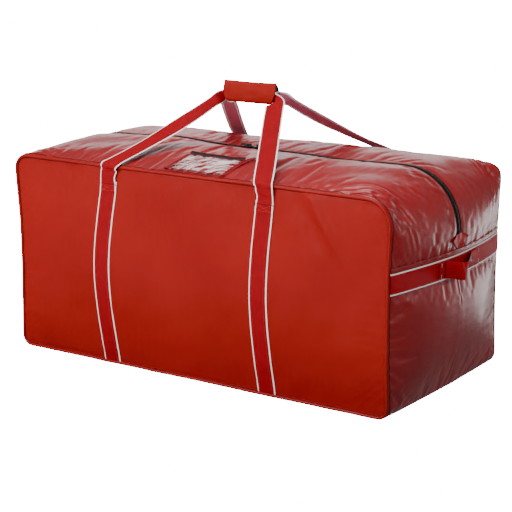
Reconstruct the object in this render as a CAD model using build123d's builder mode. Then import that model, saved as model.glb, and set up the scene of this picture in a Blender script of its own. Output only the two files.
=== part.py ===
from build123d import *

import os
from math import atan2, cos, pi, radians, sin

# Hockey equipment bag: a coated-fabric box bag carried by two webbing handles.
# X runs along the bag, -Y is the front, Z is up, millimetres, origin under the middle.

# Body
LENGTH = 1016
DEPTH = 508
SEAM_Z = 472
FLOOR_Z = 2.5
CROWN = 26
BULGE = 24
TOP_R = 60
MID_TOP_R = 100
BOTTOM_R = 35
WALL = 2
PIPING_R = 4
PANEL_INSET = 7.5
BINDING_W = 14
GUSSET_Y = DEPTH / 2 - PANEL_INSET
BOTTOM_CUT_X = 468
END_SEAM_Z = 326
TALL = 2000

# Zip opening in the top
OPENING_X = 415
HINGE_Y = 238
ZIP_GAP = 13
TAPE_HALF = 20
TAPE_T = 1
COIL_HALF = 3.2
COIL_PROUD = 0.3
ZIP_END_Z = 352

# Webbing
WEB_W = 46
WEB_T = 2.5
STRAP_X = 210
HANDLE_X = -10
TACK_Z = 423
FOLD_GAP = 3

# Carry handles
BEND_Y = 250
BEND_Z = 468
LEG_START = 1
LEG_TILT = radians(31)
BAND_Y = 2.75
BAND_Z = 617
BAND_W = 28
LEG_STEPS = 6
GRIP_HALF = 70
GRIP_LOW = 599
GRIP_HIGH = 649
GRIP_R = 9
GRIP_WALL = 2
LIP = 0.8

# End straps and grab loops
END_STRAP_Z = 293
GRAB_Y = 10
GRAB_HALF = 71
GRAB_W = 38
GRAB_OUT = 30
GRAB_START = 5

# Identity card pocket
POCKET_X = 8
POCKET_W = 170
POCKET_NEAR = 19
POCKET_FAR = 123
FRAME_W = 13

# Sliders and pulls
SLIDER_NEAR = 3
SLIDER_L = 24
SLIDER_HALF = 7
PULL_X = 14
PULL_LIFT = 4.6
PULL_L = 22
PULL_W = 13
PULL_R = 1.1

SEAM_HALF = DEPTH / 2
TOP_SLOPE = atan2(CROWN, SEAM_HALF)
LEG_OFFSET = PIPING_R + WEB_T / 2
LEG_Y = BEND_Y + LEG_OFFSET * sin(LEG_TILT) - LEG_START * cos(LEG_TILT)
LEG_Z = BEND_Z + LEG_OFFSET * cos(LEG_TILT) + LEG_START * sin(LEG_TILT)

os.makedirs("parts", exist_ok=True)


def end_x(y):
    """Distance of the end panel's outer face from the middle of the bag at depth y."""
    return LENGTH / 2 + BULGE * (1 - abs(y) / SEAM_HALF)


def outline(y, inset, crown=0, bulge=0, top_r=TOP_R):
    """The body's rounded outline on the upright plane at y, drawn in by inset."""
    low = FLOOR_Z + inset
    high = SEAM_Z + crown - inset
    half = LENGTH / 2 + bulge - inset
    with BuildSketch(Plane((0, y, 0), x_dir=(1, 0, 0), z_dir=(0, -1, 0))) as shape:
        with Locations((0, (low + high) / 2)):
            Rectangle(2 * half, high - low)
        fillet(shape.vertices().group_by(Axis.Y)[-1], radius=top_r - inset)
        fillet(shape.vertices().group_by(Axis.Y)[0], radius=BOTTOM_R - inset)
    return shape.sketch


def body(inset):
    """The whole bag as a solid, seam to seam, drawn in by inset."""
    sections = [
        outline(-SEAM_HALF, inset),
        outline(0, inset, CROWN, BULGE, MID_TOP_R),
        outline(SEAM_HALF, inset),
    ]
    with BuildPart() as solid:
        loft(sections, ruled=True)
    return solid.part


def leg_plane(share):
    """Cross-section plane of the front left leg, from the bag's edge (0) to the grip (1)."""
    start = Vector(-STRAP_X, -LEG_Y, LEG_Z)
    stop = Vector(-GRIP_HALF, -BAND_Y, BAND_Z)
    across = Vector(cos(share * pi / 2), 0, -sin(share * pi / 2))
    along = Vector(share, (1 - share) * cos(LEG_TILT), (1 - share) * sin(LEG_TILT))
    facing = along - across * along.dot(across)
    return Plane(start + (stop - start) * share, x_dir=across, z_dir=facing)


with BuildPart() as gusset:
    add(body(0))
    add(body(WALL), mode=Mode.SUBTRACT)
    Box(TALL, 2 * GUSSET_Y, TALL, mode=Mode.INTERSECT)

with BuildPart() as webbing_layer:
    add(body(-WEB_T))
    add(body(0), mode=Mode.SUBTRACT)
    Box(TALL, 2 * GUSSET_Y, TALL, mode=Mode.INTERSECT)

with BuildPart() as tape_layer:
    add(body(WALL))
    add(body(WALL + TAPE_T), mode=Mode.SUBTRACT)
    Box(TALL, 2 * TAPE_HALF, TALL, mode=Mode.INTERSECT)

with BuildPart() as coil_layer:
    add(body(-COIL_PROUD))
    add(body(WALL), mode=Mode.SUBTRACT)
    Box(TALL, 2 * COIL_HALF, TALL, mode=Mode.INTERSECT)

# Front and rear panels: flat sheets inside the piping.
with BuildPart() as front_panel:
    extrude(outline(-SEAM_HALF, PANEL_INSET), amount=-WALL)
front_panel.part.label = "front_panel"
export_step(front_panel.part, "parts/front_panel.step")

with BuildPart() as rear_panel:
    add(mirror(front_panel.part, about=Plane.XZ, mode=Mode.PRIVATE))
rear_panel.part.label = "rear_panel"
export_step(rear_panel.part, "parts/rear_panel.step")

# Bottom panel between the rounded lower corners.
with BuildPart() as bottom_panel:
    add(gusset.part)
    Box(2 * BOTTOM_CUT_X, TALL, 60, mode=Mode.INTERSECT)
bottom_panel.part.label = "bottom_panel"
export_step(bottom_panel.part, "parts/bottom_panel.step")

# End panels, from the bottom corner up to the gathered seam.
with BuildPart() as right_end_panel:
    add(gusset.part)
    with Locations((BOTTOM_CUT_X, 0, 0)):
        Box(TALL, TALL, END_SEAM_Z, align=(Align.MIN, Align.CENTER, Align.MIN), mode=Mode.INTERSECT)
right_end_panel.part.label = "right_end_panel"
export_step(right_end_panel.part, "parts/right_end_panel.step")

with BuildPart() as left_end_panel:
    add(mirror(right_end_panel.part, about=Plane.YZ, mode=Mode.PRIVATE))
left_end_panel.part.label = "left_end_panel"
export_step(left_end_panel.part, "parts/left_end_panel.step")

# Upper bands: the fixed edges and rounded corners around the zip opening.
with BuildPart() as top_front_band:
    add(gusset.part)
    with Locations((0, -ZIP_GAP, END_SEAM_Z)):
        Box(TALL, TALL, TALL, align=(Align.CENTER, Align.MAX, Align.MIN), mode=Mode.INTERSECT)
    with Locations((0, -HINGE_Y, SEAM_Z - 40)):
        Box(2 * OPENING_X, TALL, TALL, align=(Align.CENTER, Align.MIN, Align.MIN), mode=Mode.SUBTRACT)
top_front_band.part.label = "top_front_band"
export_step(top_front_band.part, "parts/top_front_band.step")

with BuildPart() as top_rear_band:
    add(mirror(top_front_band.part, about=Plane.XZ, mode=Mode.PRIVATE))
top_rear_band.part.label = "top_rear_band"
export_step(top_rear_band.part, "parts/top_rear_band.step")

# Top flaps: the two halves of the top that the zip joins.
FLAP_W = HINGE_Y - 1 - ZIP_GAP
with BuildPart() as top_front_flap:
    add(gusset.part)
    with Locations((0, -ZIP_GAP - FLAP_W / 2, SEAM_Z)):
        Box(2 * OPENING_X - 2, FLAP_W, 100, mode=Mode.INTERSECT)
top_front_flap.part.label = "top_front_flap"
export_step(top_front_flap.part, "parts/top_front_flap.step")

with BuildPart() as top_rear_flap:
    add(mirror(top_front_flap.part, about=Plane.XZ, mode=Mode.PRIVATE))
top_rear_flap.part.label = "top_rear_flap"
export_step(top_rear_flap.part, "parts/top_rear_flap.step")

# Piping beads in the front and rear seams.
with BuildPart() as front_piping:
    with BuildLine() as front_bead_path:
        add(outline(-SEAM_HALF + PIPING_R, PIPING_R).wires()[0])
    with BuildSketch(Plane(front_bead_path.line @ 0, z_dir=front_bead_path.line % 0)):
        Circle(PIPING_R)
    sweep()
front_piping.part.label = "front_piping"
export_step(front_piping.part, "parts/front_piping.step")

with BuildPart() as rear_piping:
    add(mirror(front_piping.part, about=Plane.XZ, mode=Mode.PRIVATE))
rear_piping.part.label = "rear_piping"
export_step(rear_piping.part, "parts/rear_piping.step")

# Bound seam allowance inside each seam: a wedge tying panel, bead and gusset together.
with BuildPart() as front_seam_binding:
    add(body(WALL))
    with Locations((0, -SEAM_HALF + WALL, 0)):
        Box(TALL, 12, TALL, align=(Align.CENTER, Align.MIN, Align.CENTER), mode=Mode.INTERSECT)
    loft(
        [outline(-SEAM_HALF, WALL + BINDING_W), outline(-SEAM_HALF + BINDING_W + 2, WALL - 2)],
        ruled=True,
        mode=Mode.SUBTRACT,
    )
    add(front_piping.part, mode=Mode.SUBTRACT)
front_seam_binding.part.label = "front_seam_binding"
export_step(front_seam_binding.part, "parts/front_seam_binding.step")

with BuildPart() as rear_seam_binding:
    add(mirror(front_seam_binding.part, about=Plane.XZ, mode=Mode.PRIVATE))
rear_seam_binding.part.label = "rear_seam_binding"
export_step(rear_seam_binding.part, "parts/rear_seam_binding.step")

# Body straps: webbing under the bag and up the front and rear to the bar tacks.
STRAP_OUT = SEAM_HALF + WEB_T
with BuildPart() as body_strap:
    with BuildSketch(Plane.YZ):
        with Locations((0, SEAM_Z / 2)):
            RectangleRounded(2 * STRAP_OUT, SEAM_Z, PIPING_R + WEB_T)
        with Locations((0, (SEAM_Z + FLOOR_Z) / 2)):
            RectangleRounded(2 * SEAM_HALF, SEAM_Z - FLOOR_Z, PIPING_R, mode=Mode.SUBTRACT)
        with Locations((0, TACK_Z)):
            Rectangle(TALL, SEAM_Z, align=(Align.CENTER, Align.MIN), mode=Mode.SUBTRACT)
    extrude(amount=WEB_W / 2, both=True)

with BuildPart() as left_body_strap:
    with Locations((HANDLE_X - STRAP_X, 0, 0)):
        add(body_strap.part)
left_body_strap.part.label = "left_body_strap"
export_step(left_body_strap.part, "parts/left_body_strap.step")

with BuildPart() as right_body_strap:
    with Locations((HANDLE_X + STRAP_X, 0, 0)):
        add(body_strap.part)
right_body_strap.part.label = "right_body_strap"
export_step(right_body_strap.part, "parts/right_body_strap.step")

# Bar tacks where each strap is sewn down below the top seam.
with BuildPart() as handle_tacks:
    for side in (-1, 1):
        for face in (-1, 1):
            with Locations((HANDLE_X + side * STRAP_X, face * (STRAP_OUT + 0.5), TACK_Z - 5)):
                Box(WEB_W - 8, 1, 3)
handle_tacks.part.label = "handle_tacks"
export_step(handle_tacks.part, "parts/handle_tacks.step")

# Risers: the free webbing between each bar tack and the top seam.
RISER_L = BEND_Z - TACK_Z - FOLD_GAP
for side, side_name in ((-1, "left"), (1, "right")):
    for face, face_name in ((-1, "front"), (1, "rear")):
        with BuildPart() as riser:
            with Locations((HANDLE_X + side * STRAP_X, face * (SEAM_HALF + WEB_T / 2), BEND_Z)):
                Box(WEB_W, WEB_T, RISER_L, align=(Align.CENTER, Align.CENTER, Align.MAX))
        riser.part.label = f"{side_name}_{face_name}_riser"
        export_step(riser.part, f"parts/{side_name}_{face_name}_riser.step")

# Fixed ends of the zip, from the opening round the corner and down the end.
with BuildPart() as right_end_tape:
    add(tape_layer.part)
    with Locations((OPENING_X + 1, 0, END_SEAM_Z)):
        Box(TALL, TALL, TALL, align=(Align.MIN, Align.CENTER, Align.MIN), mode=Mode.INTERSECT)
right_end_tape.part.label = "right_end_tape"
export_step(right_end_tape.part, "parts/right_end_tape.step")

with BuildPart() as left_end_tape:
    add(mirror(right_end_tape.part, about=Plane.YZ, mode=Mode.PRIVATE))
left_end_tape.part.label = "left_end_tape"
export_step(left_end_tape.part, "parts/left_end_tape.step")

with BuildPart() as right_end_coil:
    add(coil_layer.part)
    with Locations((OPENING_X + 1, 0, ZIP_END_Z)):
        Box(TALL, TALL, TALL, align=(Align.MIN, Align.CENTER, Align.MIN), mode=Mode.INTERSECT)
right_end_coil.part.label = "right_end_coil"
export_step(right_end_coil.part, "parts/right_end_coil.step")

with BuildPart() as left_end_coil:
    add(mirror(right_end_coil.part, about=Plane.YZ, mode=Mode.PRIVATE))
left_end_coil.part.label = "left_end_coil"
export_step(left_end_coil.part, "parts/left_end_coil.step")

# Triangular patches that close the ends of the zip.
with BuildPart() as right_zip_patch:
    with BuildSketch(Plane.YZ.offset(LENGTH / 2 - BULGE)):
        with BuildLine():
            Polyline((-28, END_SEAM_Z + 1), (28, END_SEAM_Z + 1), (0, ZIP_END_Z - 1), close=True)
        make_face()
    extrude(amount=3 * BULGE)
    add(body(-1.5), mode=Mode.INTERSECT)
    add(body(0), mode=Mode.SUBTRACT)
right_zip_patch.part.label = "right_zip_patch"
export_step(right_zip_patch.part, "parts/right_zip_patch.step")

with BuildPart() as left_zip_patch:
    add(mirror(right_zip_patch.part, about=Plane.YZ, mode=Mode.PRIVATE))
left_zip_patch.part.label = "left_zip_patch"
export_step(left_zip_patch.part, "parts/left_zip_patch.step")

# Zip tapes and coils along the two flaps; the coil spreads around the slider posts.
with BuildPart() as front_tape:
    add(tape_layer.part)
    with Locations((0, -2, SEAM_Z)):
        Box(
            2 * OPENING_X - 2,
            TALL,
            100,
            align=(Align.CENTER, Align.MAX, Align.CENTER),
            mode=Mode.INTERSECT,
        )
front_tape.part.label = "front_tape"
export_step(front_tape.part, "parts/front_tape.step")

with BuildPart() as rear_tape:
    add(mirror(front_tape.part, about=Plane.XZ, mode=Mode.PRIVATE))
rear_tape.part.label = "rear_tape"
export_step(rear_tape.part, "parts/rear_tape.step")

with BuildPart() as front_coil:
    add(coil_layer.part)
    with Locations((0, -0.3, SEAM_Z)):
        Box(
            2 * OPENING_X - 2,
            TALL,
            100,
            align=(Align.CENTER, Align.MAX, Align.CENTER),
            mode=Mode.INTERSECT,
        )
    with Locations((0, 0, SEAM_Z)):
        Box(18, 3, 100, mode=Mode.SUBTRACT)
front_coil.part.label = "front_coil"
export_step(front_coil.part, "parts/front_coil.step")

with BuildPart() as rear_coil:
    add(mirror(front_coil.part, about=Plane.XZ, mode=Mode.PRIVATE))
rear_coil.part.label = "rear_coil"
export_step(rear_coil.part, "parts/rear_coil.step")

# Sliders: two wings joined by a nose post, with a bail for the pull.
PULL_Z = SEAM_Z + CROWN + PULL_LIFT
TOP_WING_Z = SEAM_Z + CROWN + 0.6
LOW_WING_Z = SEAM_Z + CROWN - 4.2
with BuildPart() as right_slider:
    with Locations((SLIDER_NEAR + SLIDER_L / 2, 0, TOP_WING_Z + 1)):
        Box(SLIDER_L, 2 * SLIDER_HALF, 2)
    fillet(right_slider.edges().filter_by(Axis.Z), radius=5)
    with Locations((SLIDER_NEAR + SLIDER_L / 2, 0, LOW_WING_Z - 1)):
        Box(SLIDER_L, 2 * SLIDER_HALF, 2)
    with Locations((SLIDER_NEAR + 3, 0, (TOP_WING_Z + LOW_WING_Z) / 2)):
        Box(4, 1.6, TOP_WING_Z - LOW_WING_Z + 2)
    with BuildSketch(Plane.XZ):
        with Locations((PULL_X, TOP_WING_Z + 3.2)):
            SlotOverall(14, 7)
        with Locations((PULL_X, PULL_Z)):
            Circle(PULL_R + 0.5, mode=Mode.SUBTRACT)
        with Locations((PULL_X, TOP_WING_Z - 4)):
            Rectangle(30, 10, mode=Mode.SUBTRACT)
    extrude(amount=1.5, both=True)
right_slider.part.label = "right_slider"
export_step(right_slider.part, "parts/right_slider.step")

with BuildPart() as left_slider:
    add(mirror(right_slider.part, about=Plane.YZ, mode=Mode.PRIVATE))
left_slider.part.label = "left_slider"
export_step(left_slider.part, "parts/left_slider.step")

# Pull rings of bent wire, lying flat over the zip.
with BuildPart() as right_pull:
    with BuildSketch(Plane.XY.offset(PULL_Z), mode=Mode.PRIVATE) as ring_outline:
        with Locations((PULL_X + PULL_L / 2, 0)):
            RectangleRounded(PULL_L, PULL_W, 4)
    with BuildLine() as ring_path:
        add(ring_outline.sketch.wires()[0])
    with BuildSketch(Plane(ring_path.line @ 0, z_dir=ring_path.line % 0)):
        Circle(PULL_R)
    sweep()
right_pull.part.label = "right_pull"
export_step(right_pull.part, "parts/right_pull.step")

with BuildPart() as left_pull:
    add(mirror(right_pull.part, about=Plane.YZ, mode=Mode.PRIVATE))
left_pull.part.label = "left_pull"
export_step(left_pull.part, "parts/left_pull.step")

# Carry handles: webbing legs that twist upright and run through the grip.
with BuildPart() as handle_leg:
    for step in range(LEG_STEPS + 1):
        share = step / LEG_STEPS
        with BuildSketch(leg_plane(share)):
            Rectangle(WEB_W + share * (BAND_W - WEB_W), WEB_T)
    loft()

with BuildPart() as handle_loop:
    add(handle_leg.part)
    add(mirror(handle_leg.part, about=Plane.YZ, mode=Mode.PRIVATE))
    with Locations((0, -BAND_Y, BAND_Z)):
        Box(2 * GRIP_HALF, WEB_T, BAND_W)

with BuildPart() as front_handle:
    with Locations((HANDLE_X, 0, 0)):
        add(handle_loop.part)
front_handle.part.label = "front_handle"
export_step(front_handle.part, "parts/front_handle.step")

with BuildPart() as rear_handle:
    add(mirror(front_handle.part, about=Plane.XZ, mode=Mode.PRIVATE))
rear_handle.part.label = "rear_handle"
export_step(rear_handle.part, "parts/rear_handle.step")

# Grip wrap: folded under the two webbings and closed along the top.
GRIP_C = GRIP_LOW + GRIP_R
LIP_Z = GRIP_HIGH - 10
with BuildPart() as grip_shell:
    with BuildSketch(Plane.YZ):
        with BuildLine():
            CenterArc((0, GRIP_C), GRIP_R, 270, 90)
            Polyline((GRIP_R, GRIP_C), (8.2, 629), (LIP + GRIP_WALL, LIP_Z), (LIP + GRIP_WALL, GRIP_HIGH))
            Polyline((LIP + GRIP_WALL, GRIP_HIGH), (LIP, GRIP_HIGH), (LIP, LIP_Z), (6.2, 628))
            Line((6.2, 628), (GRIP_R - GRIP_WALL, GRIP_C))
            CenterArc((0, GRIP_C), GRIP_R - GRIP_WALL, 0, -90)
            Line((0, GRIP_LOW + GRIP_WALL), (0, GRIP_LOW))
        make_face()
    extrude(amount=GRIP_HALF - 1, both=True)

with BuildPart() as grip_wrap:
    with Locations((HANDLE_X, 0, 0)):
        add(grip_shell.part)
grip_wrap.part.label = "grip_wrap"
export_step(grip_wrap.part, "parts/grip_wrap.step")

with BuildPart() as grip_flap:
    add(mirror(grip_wrap.part, about=Plane.XZ, mode=Mode.PRIVATE))
grip_flap.part.label = "grip_flap"
export_step(grip_flap.part, "parts/grip_flap.step")

with BuildPart() as grip_loop_tape:
    with Locations((HANDLE_X, LIP / 2, (LIP_Z + GRIP_HIGH) / 2)):
        Box(2 * GRIP_HALF - 2, LIP, GRIP_HIGH - LIP_Z)
grip_loop_tape.part.label = "grip_loop_tape"
export_step(grip_loop_tape.part, "parts/grip_loop_tape.step")

with BuildPart() as grip_hook_tape:
    with Locations((HANDLE_X, -LIP / 2, (LIP_Z + GRIP_HIGH) / 2)):
        Box(2 * GRIP_HALF - 2, LIP, GRIP_HIGH - LIP_Z)
grip_hook_tape.part.label = "grip_hook_tape"
export_step(grip_hook_tape.part, "parts/grip_hook_tape.step")

# End straps: level webbing across each end, seam to seam.
with BuildPart() as right_end_strap:
    add(webbing_layer.part)
    with Locations((LENGTH / 2, 0, END_STRAP_Z)):
        Box(100, TALL, WEB_W, mode=Mode.INTERSECT)
right_end_strap.part.label = "right_end_strap"
export_step(right_end_strap.part, "parts/right_end_strap.step")

with BuildPart() as left_end_strap:
    add(mirror(right_end_strap.part, about=Plane.YZ, mode=Mode.PRIVATE))
left_end_strap.part.label = "left_end_strap"
export_step(left_end_strap.part, "parts/left_end_strap.step")

# Grab loops: sewn tails flat on the strap, and the loop that stands off between them.
GRAB_X = LENGTH / 2 + BULGE + WEB_T + GRAB_START
with BuildPart() as right_grab_tails:
    for side in (-1, 1):
        tail_y = GRAB_Y + side * (GRAB_HALF + 42)
        sewn_y = GRAB_Y + side * (GRAB_HALF + 14)
        free_y = GRAB_Y + side * (GRAB_HALF + 2)
        with BuildSketch(Plane.XY.offset(END_STRAP_Z)):
            with BuildLine():
                Polyline(
                    (end_x(tail_y) + WEB_T, tail_y),
                    (end_x(sewn_y) + WEB_T, sewn_y),
                    (GRAB_X - 2, free_y),
                    (GRAB_X - 1, free_y + side * 3),
                    (end_x(sewn_y) + 2 * WEB_T, sewn_y + side * 2),
                    (end_x(tail_y) + 2 * WEB_T, tail_y),
                    close=True,
                )
            make_face()
        extrude(amount=GRAB_W / 2, both=True)
right_grab_tails.part.label = "right_grab_tails"
export_step(right_grab_tails.part, "parts/right_grab_tails.step")

with BuildPart() as left_grab_tails:
    add(mirror(right_grab_tails.part, about=Plane.YZ, mode=Mode.PRIVATE))
left_grab_tails.part.label = "left_grab_tails"
export_step(left_grab_tails.part, "parts/left_grab_tails.step")

with BuildPart() as right_grab_loop:
    with BuildSketch(Plane.XY.offset(END_STRAP_Z)):
        with BuildLine() as grab_line:
            Spline(
                (GRAB_X, GRAB_Y - GRAB_HALF),
                (GRAB_X + 16, GRAB_Y - GRAB_HALF + 24),
                (LENGTH / 2 + BULGE + WEB_T + GRAB_OUT, GRAB_Y),
                (GRAB_X + 16, GRAB_Y + GRAB_HALF - 24),
                (GRAB_X, GRAB_Y + GRAB_HALF),
            )
        trace(grab_line.line, line_width=WEB_T)
    extrude(amount=GRAB_W / 2, both=True)
right_grab_loop.part.label = "right_grab_loop"
export_step(right_grab_loop.part, "parts/right_grab_loop.step")

with BuildPart() as left_grab_loop:
    add(mirror(right_grab_loop.part, about=Plane.YZ, mode=Mode.PRIVATE))
left_grab_loop.part.label = "left_grab_loop"
export_step(left_grab_loop.part, "parts/left_grab_loop.step")

# Identity card pocket on the front flap: clear window, edge strips and a bound mouth.
pocket_plane = Plane(
    (POCKET_X, -SEAM_HALF, SEAM_Z),
    x_dir=(1, 0, 0),
    z_dir=(0, -sin(TOP_SLOPE), cos(TOP_SLOPE)),
)
POCKET_MID = (POCKET_NEAR + POCKET_FAR) / 2
POCKET_DEEP = POCKET_FAR - POCKET_NEAR
with BuildPart() as id_window:
    with BuildSketch(pocket_plane):
        with Locations((0, POCKET_MID)):
            Rectangle(POCKET_W, POCKET_DEEP)
    extrude(amount=1)
id_window.part.label = "id_window"
export_step(id_window.part, "parts/id_window.step")

with BuildPart() as id_frame:
    with BuildSketch(pocket_plane.offset(1)):
        with Locations((0, POCKET_MID)):
            Rectangle(POCKET_W, POCKET_DEEP)
        with Locations((0, POCKET_MID + FRAME_W)):
            Rectangle(POCKET_W - 2 * FRAME_W, POCKET_DEEP, mode=Mode.SUBTRACT)
        with Locations((0, POCKET_FAR)):
            Rectangle(POCKET_W, 14, mode=Mode.SUBTRACT)
    extrude(amount=1.2)
id_frame.part.label = "id_frame"
export_step(id_frame.part, "parts/id_frame.step")

with BuildPart() as id_binding:
    with BuildSketch(pocket_plane.offset(1)):
        with Locations((0, POCKET_FAR - 3.5)):
            Rectangle(POCKET_W, 7)
    extrude(amount=1.4)
id_binding.part.label = "id_binding"
export_step(id_binding.part, "parts/id_binding.step")
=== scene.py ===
import math

import bpy
import numpy as np
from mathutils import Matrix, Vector
from mathutils.bvhtree import BVHTree


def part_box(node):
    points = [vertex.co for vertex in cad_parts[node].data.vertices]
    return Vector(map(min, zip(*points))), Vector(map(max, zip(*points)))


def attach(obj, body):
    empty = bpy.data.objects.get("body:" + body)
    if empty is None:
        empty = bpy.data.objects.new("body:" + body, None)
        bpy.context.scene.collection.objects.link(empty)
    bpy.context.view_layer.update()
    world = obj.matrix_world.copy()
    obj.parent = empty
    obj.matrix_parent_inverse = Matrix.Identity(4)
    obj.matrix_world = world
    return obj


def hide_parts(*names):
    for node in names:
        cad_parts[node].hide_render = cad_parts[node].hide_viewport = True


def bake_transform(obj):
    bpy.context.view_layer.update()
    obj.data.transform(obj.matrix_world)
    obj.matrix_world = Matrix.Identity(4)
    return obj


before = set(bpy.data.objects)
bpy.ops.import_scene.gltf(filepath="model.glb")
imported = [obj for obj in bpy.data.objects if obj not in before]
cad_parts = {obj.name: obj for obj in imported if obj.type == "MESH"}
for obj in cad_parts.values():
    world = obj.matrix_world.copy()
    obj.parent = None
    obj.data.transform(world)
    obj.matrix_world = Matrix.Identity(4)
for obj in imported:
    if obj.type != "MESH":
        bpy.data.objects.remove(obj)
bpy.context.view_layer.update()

# Sizes read from the frame, in metres.
HALF_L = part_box("front_piping")[1][0]
SEAM_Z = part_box("front_piping")[1][2]
BASE_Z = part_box("front_piping")[0][2]
HALF_D = -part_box("front_panel")[0][1]
BEAD_R = (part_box("front_piping")[1][1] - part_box("front_piping")[0][1]) / 2
SEAM_Y = HALF_D - BEAD_R
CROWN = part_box("top_front_flap")[1][2] - SEAM_Z
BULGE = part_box("right_end_panel")[1][0] - HALF_L
OPEN_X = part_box("top_front_flap")[1][0]
HINGE_Y = -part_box("top_front_flap")[0][1]
END_SEAM_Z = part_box("right_end_panel")[1][2]
STRAP_LOW, STRAP_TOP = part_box("right_end_strap")[0][2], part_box("right_end_strap")[1][2]
WEB_W = STRAP_TOP - STRAP_LOW
STRAP_MID = (STRAP_LOW + STRAP_TOP) / 2

# Each panel and each end, with the side of the bag that it is on.
SIDES = (("front", -1), ("rear", 1))
ENDS = (("left", -1), ("right", 1))

# The outline: radii of the top corners (left, right) and of the lower ones, how far the side seams
# draw in at mid height, and how far the left one stands out again below its top corner.
FRONT_R, REAR_R = (0.036, 0.064), (0.044, 0.028)
MID_TOP_R = 0.112
LOW_R = 0.028
WAIST = 0.006
FLARE = 0.007
SHEET = 0.0009

# The cloth: how much larger than its outline each piece is cut, and the pressure that fills it.
PANEL_OVERSIZE, PANEL_PRESSURE = 0.0009, 1.7
HOOD_OVERSIZE, HOOD_PRESSURE = 0.010, 3.2

# Where the lid is divided, the zip and the straps.
ZIP_EDGE = 0.011
SOFT_X = 0.250
ZIP_FOOT_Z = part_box("right_end_tape")[0][2]
TAPE_LINES = ((0.0015, 0.0004), (0.004, 0.0004), (0.009, 0.0), (0.014, -0.0002), (0.020, -0.0004))
TOOTH = 0.0026
TOOTH_SIZE = (0.0056, 0.0014, 0.0020)

# How far in from the outline, and how far back from the seam, each row along a seam lies.
PANEL_INSET, PANEL_BACK = 0.0065, 0.0008
SHADOW_INSET, SHADOW_BACK, SHADOW_OUT, SHADOW_R = 0.0086, 0.0004, 0.0044, 0.0009
BINDING_INSET, BINDING_BACK, BINDING_W, BINDING_THICK = 0.0110, 0.003, 0.011, 0.001
STITCH_INSET = 0.0095

# Handles: where they are sewn on, where they bend, their legs and the band in the grip.
TACK_Z = 0.423
STRAP_BOW = ((-0.2255, 0.018, 0.0), (0.199, 0.012, 0.006))
TACK_HALF, TACK_LOW, TACK_HIGH = 0.017, -0.009, 0.004
RISER_CUT_Z = TACK_Z + 0.022
LEG_KNEE = (((-0.2225, -0.2564, 0.458), (-0.2155, -0.2530, 0.4765)),
            ((0.1985, -0.2564, 0.460), (0.1945, -0.2510, 0.480)))
LEG_FREE_Z = 0.505
LEG_DROOP = {True: (0.005, 0.002), False: (0.004, 0.005)}
GRIP_ENTRY = ((-0.081, -0.005, 0.614), (0.067, -0.012, 0.618))
GRIP_X = (-0.080, 0.060)
GRIP_TOP, GRIP_LOW, GRIP_R = 0.649, 0.599, 0.009
GRAB_SPAN = (-0.064, 0.086)
GRAB_W = 0.038
WEB_THICK, HANDLE_THICK, GRAB_THICK, TAIL_THICK = 0.0018, 0.0019, 0.0020, 0.0017
STRAP_NODES = 9
STRAP_GAP, END_STRAP_GAP, WELT_GAP, PATCH_GAP = 0.0012, 0.0022, 0.0014, 0.0026
HANDLE_GAP, TACK_SHADE_GAP, TACK_GAP = 0.0034, 0.0042, 0.0046
WINDOW_GAP, STRIP_GAP, MOUTH_GAP = 0.0016, 0.0026, 0.0052
EDGE_STITCH = 0.0155
WHITE_FROM = 0.0202

# The grab loop: share of its span, how far out, how far down; then how it leans along its length.
GRAB_CURVE = ((0, 0.0045, 0.0), (0.08, 0.012, 0.001), (0.18, 0.026, 0.004), (0.27, 0.031, 0.007),
              (0.36, 0.028, 0.008), (0.5, 0.017, 0.007), (0.64, 0.009, 0.004), (0.82, 0.0055, 0.001),
              (1, 0.0045, 0.0))
GRAB_LEAN = ((0, 0.1, 0.3, 0.5, 0.64, 0.8, 1), (0, -0.1, -0.2, 0.8, 0.7, 0.2, 0))

# Corners of the card window, left and right, as seen from above.
WINDOW_NEAR = ((-0.073, -0.238), (0.079, -0.240))
WINDOW_FAR = ((-0.064, -0.162), (0.090, -0.176))

# Studio: lamps as name, place, size and power; cards as name, corners, glow and whether they shine.
LAMPS = (
    ("key", (-1.6, -4.2, 2.4), (2.4, 2.0), 245),
    ("back", (-2.6, 4.2, 1.5), (7.0, 1.7), 68),
    ("top", (0.0, -0.4, 3.6), (2.5, 2.0), 120),
    ("right", (4.2, 1.6, 1.8), (1.6, 1.4), 50),
)
CARDS = (
    ("bounce_card", ((-3.0, -4.0), (3.0, -4.0), (3.0, -0.5), (-3.0, -0.5)), 0.45, False),
    ("rear_card", ((0.62, 0.5), (1.35, 1.7), (2.7, 4.6), (0.55, 4.6)), 4.0, True),
)
AMBIENT = 0.24
FLOOR_GLOW = 24.0
LENS, SENSOR = 109.48, 36
YAW, PITCH, DISTANCE = math.radians(34.19), math.radians(13.34), 3.647
TARGET = (0.0052, 0, 0.2408)

# Where the outline's even steps end and its corners' own ones begin, and how many a corner has.
TOP_FLAT = 0.390
LOW_FLAT = 0.450
SIDE_LOW, SIDE_HIGH = 0.060, 0.350
TOP_TURN, LOW_TURN, SIDE_TURN_LOW, SIDE_TURN_HIGH = 10, 4, 5, 12


def smooth(t):
    t = np.clip(t, 0, 1)
    return t * t * (3 - 2 * t)


def lerp(a, b, t):
    return a * (1 - t) + b * t


def fours(points):
    """For each step of a row the points before it, at its ends and after it, the row's ends carried on."""
    p = np.concatenate([2 * points[:1] - points[1:2], points, 2 * points[-1:] - points[-2:-1]])
    return p[:-3], p[1:-2], p[2:-1], p[3:]


def between(a, b, c, d, t):
    """Point at t from b to c on the smooth curve through all four."""
    return 0.5 * (2 * b + (c - a) * t + (2 * a - 5 * b + 4 * c - d) * t**2
                  + (3 * b - a - 3 * c + d) * t**3)


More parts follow.
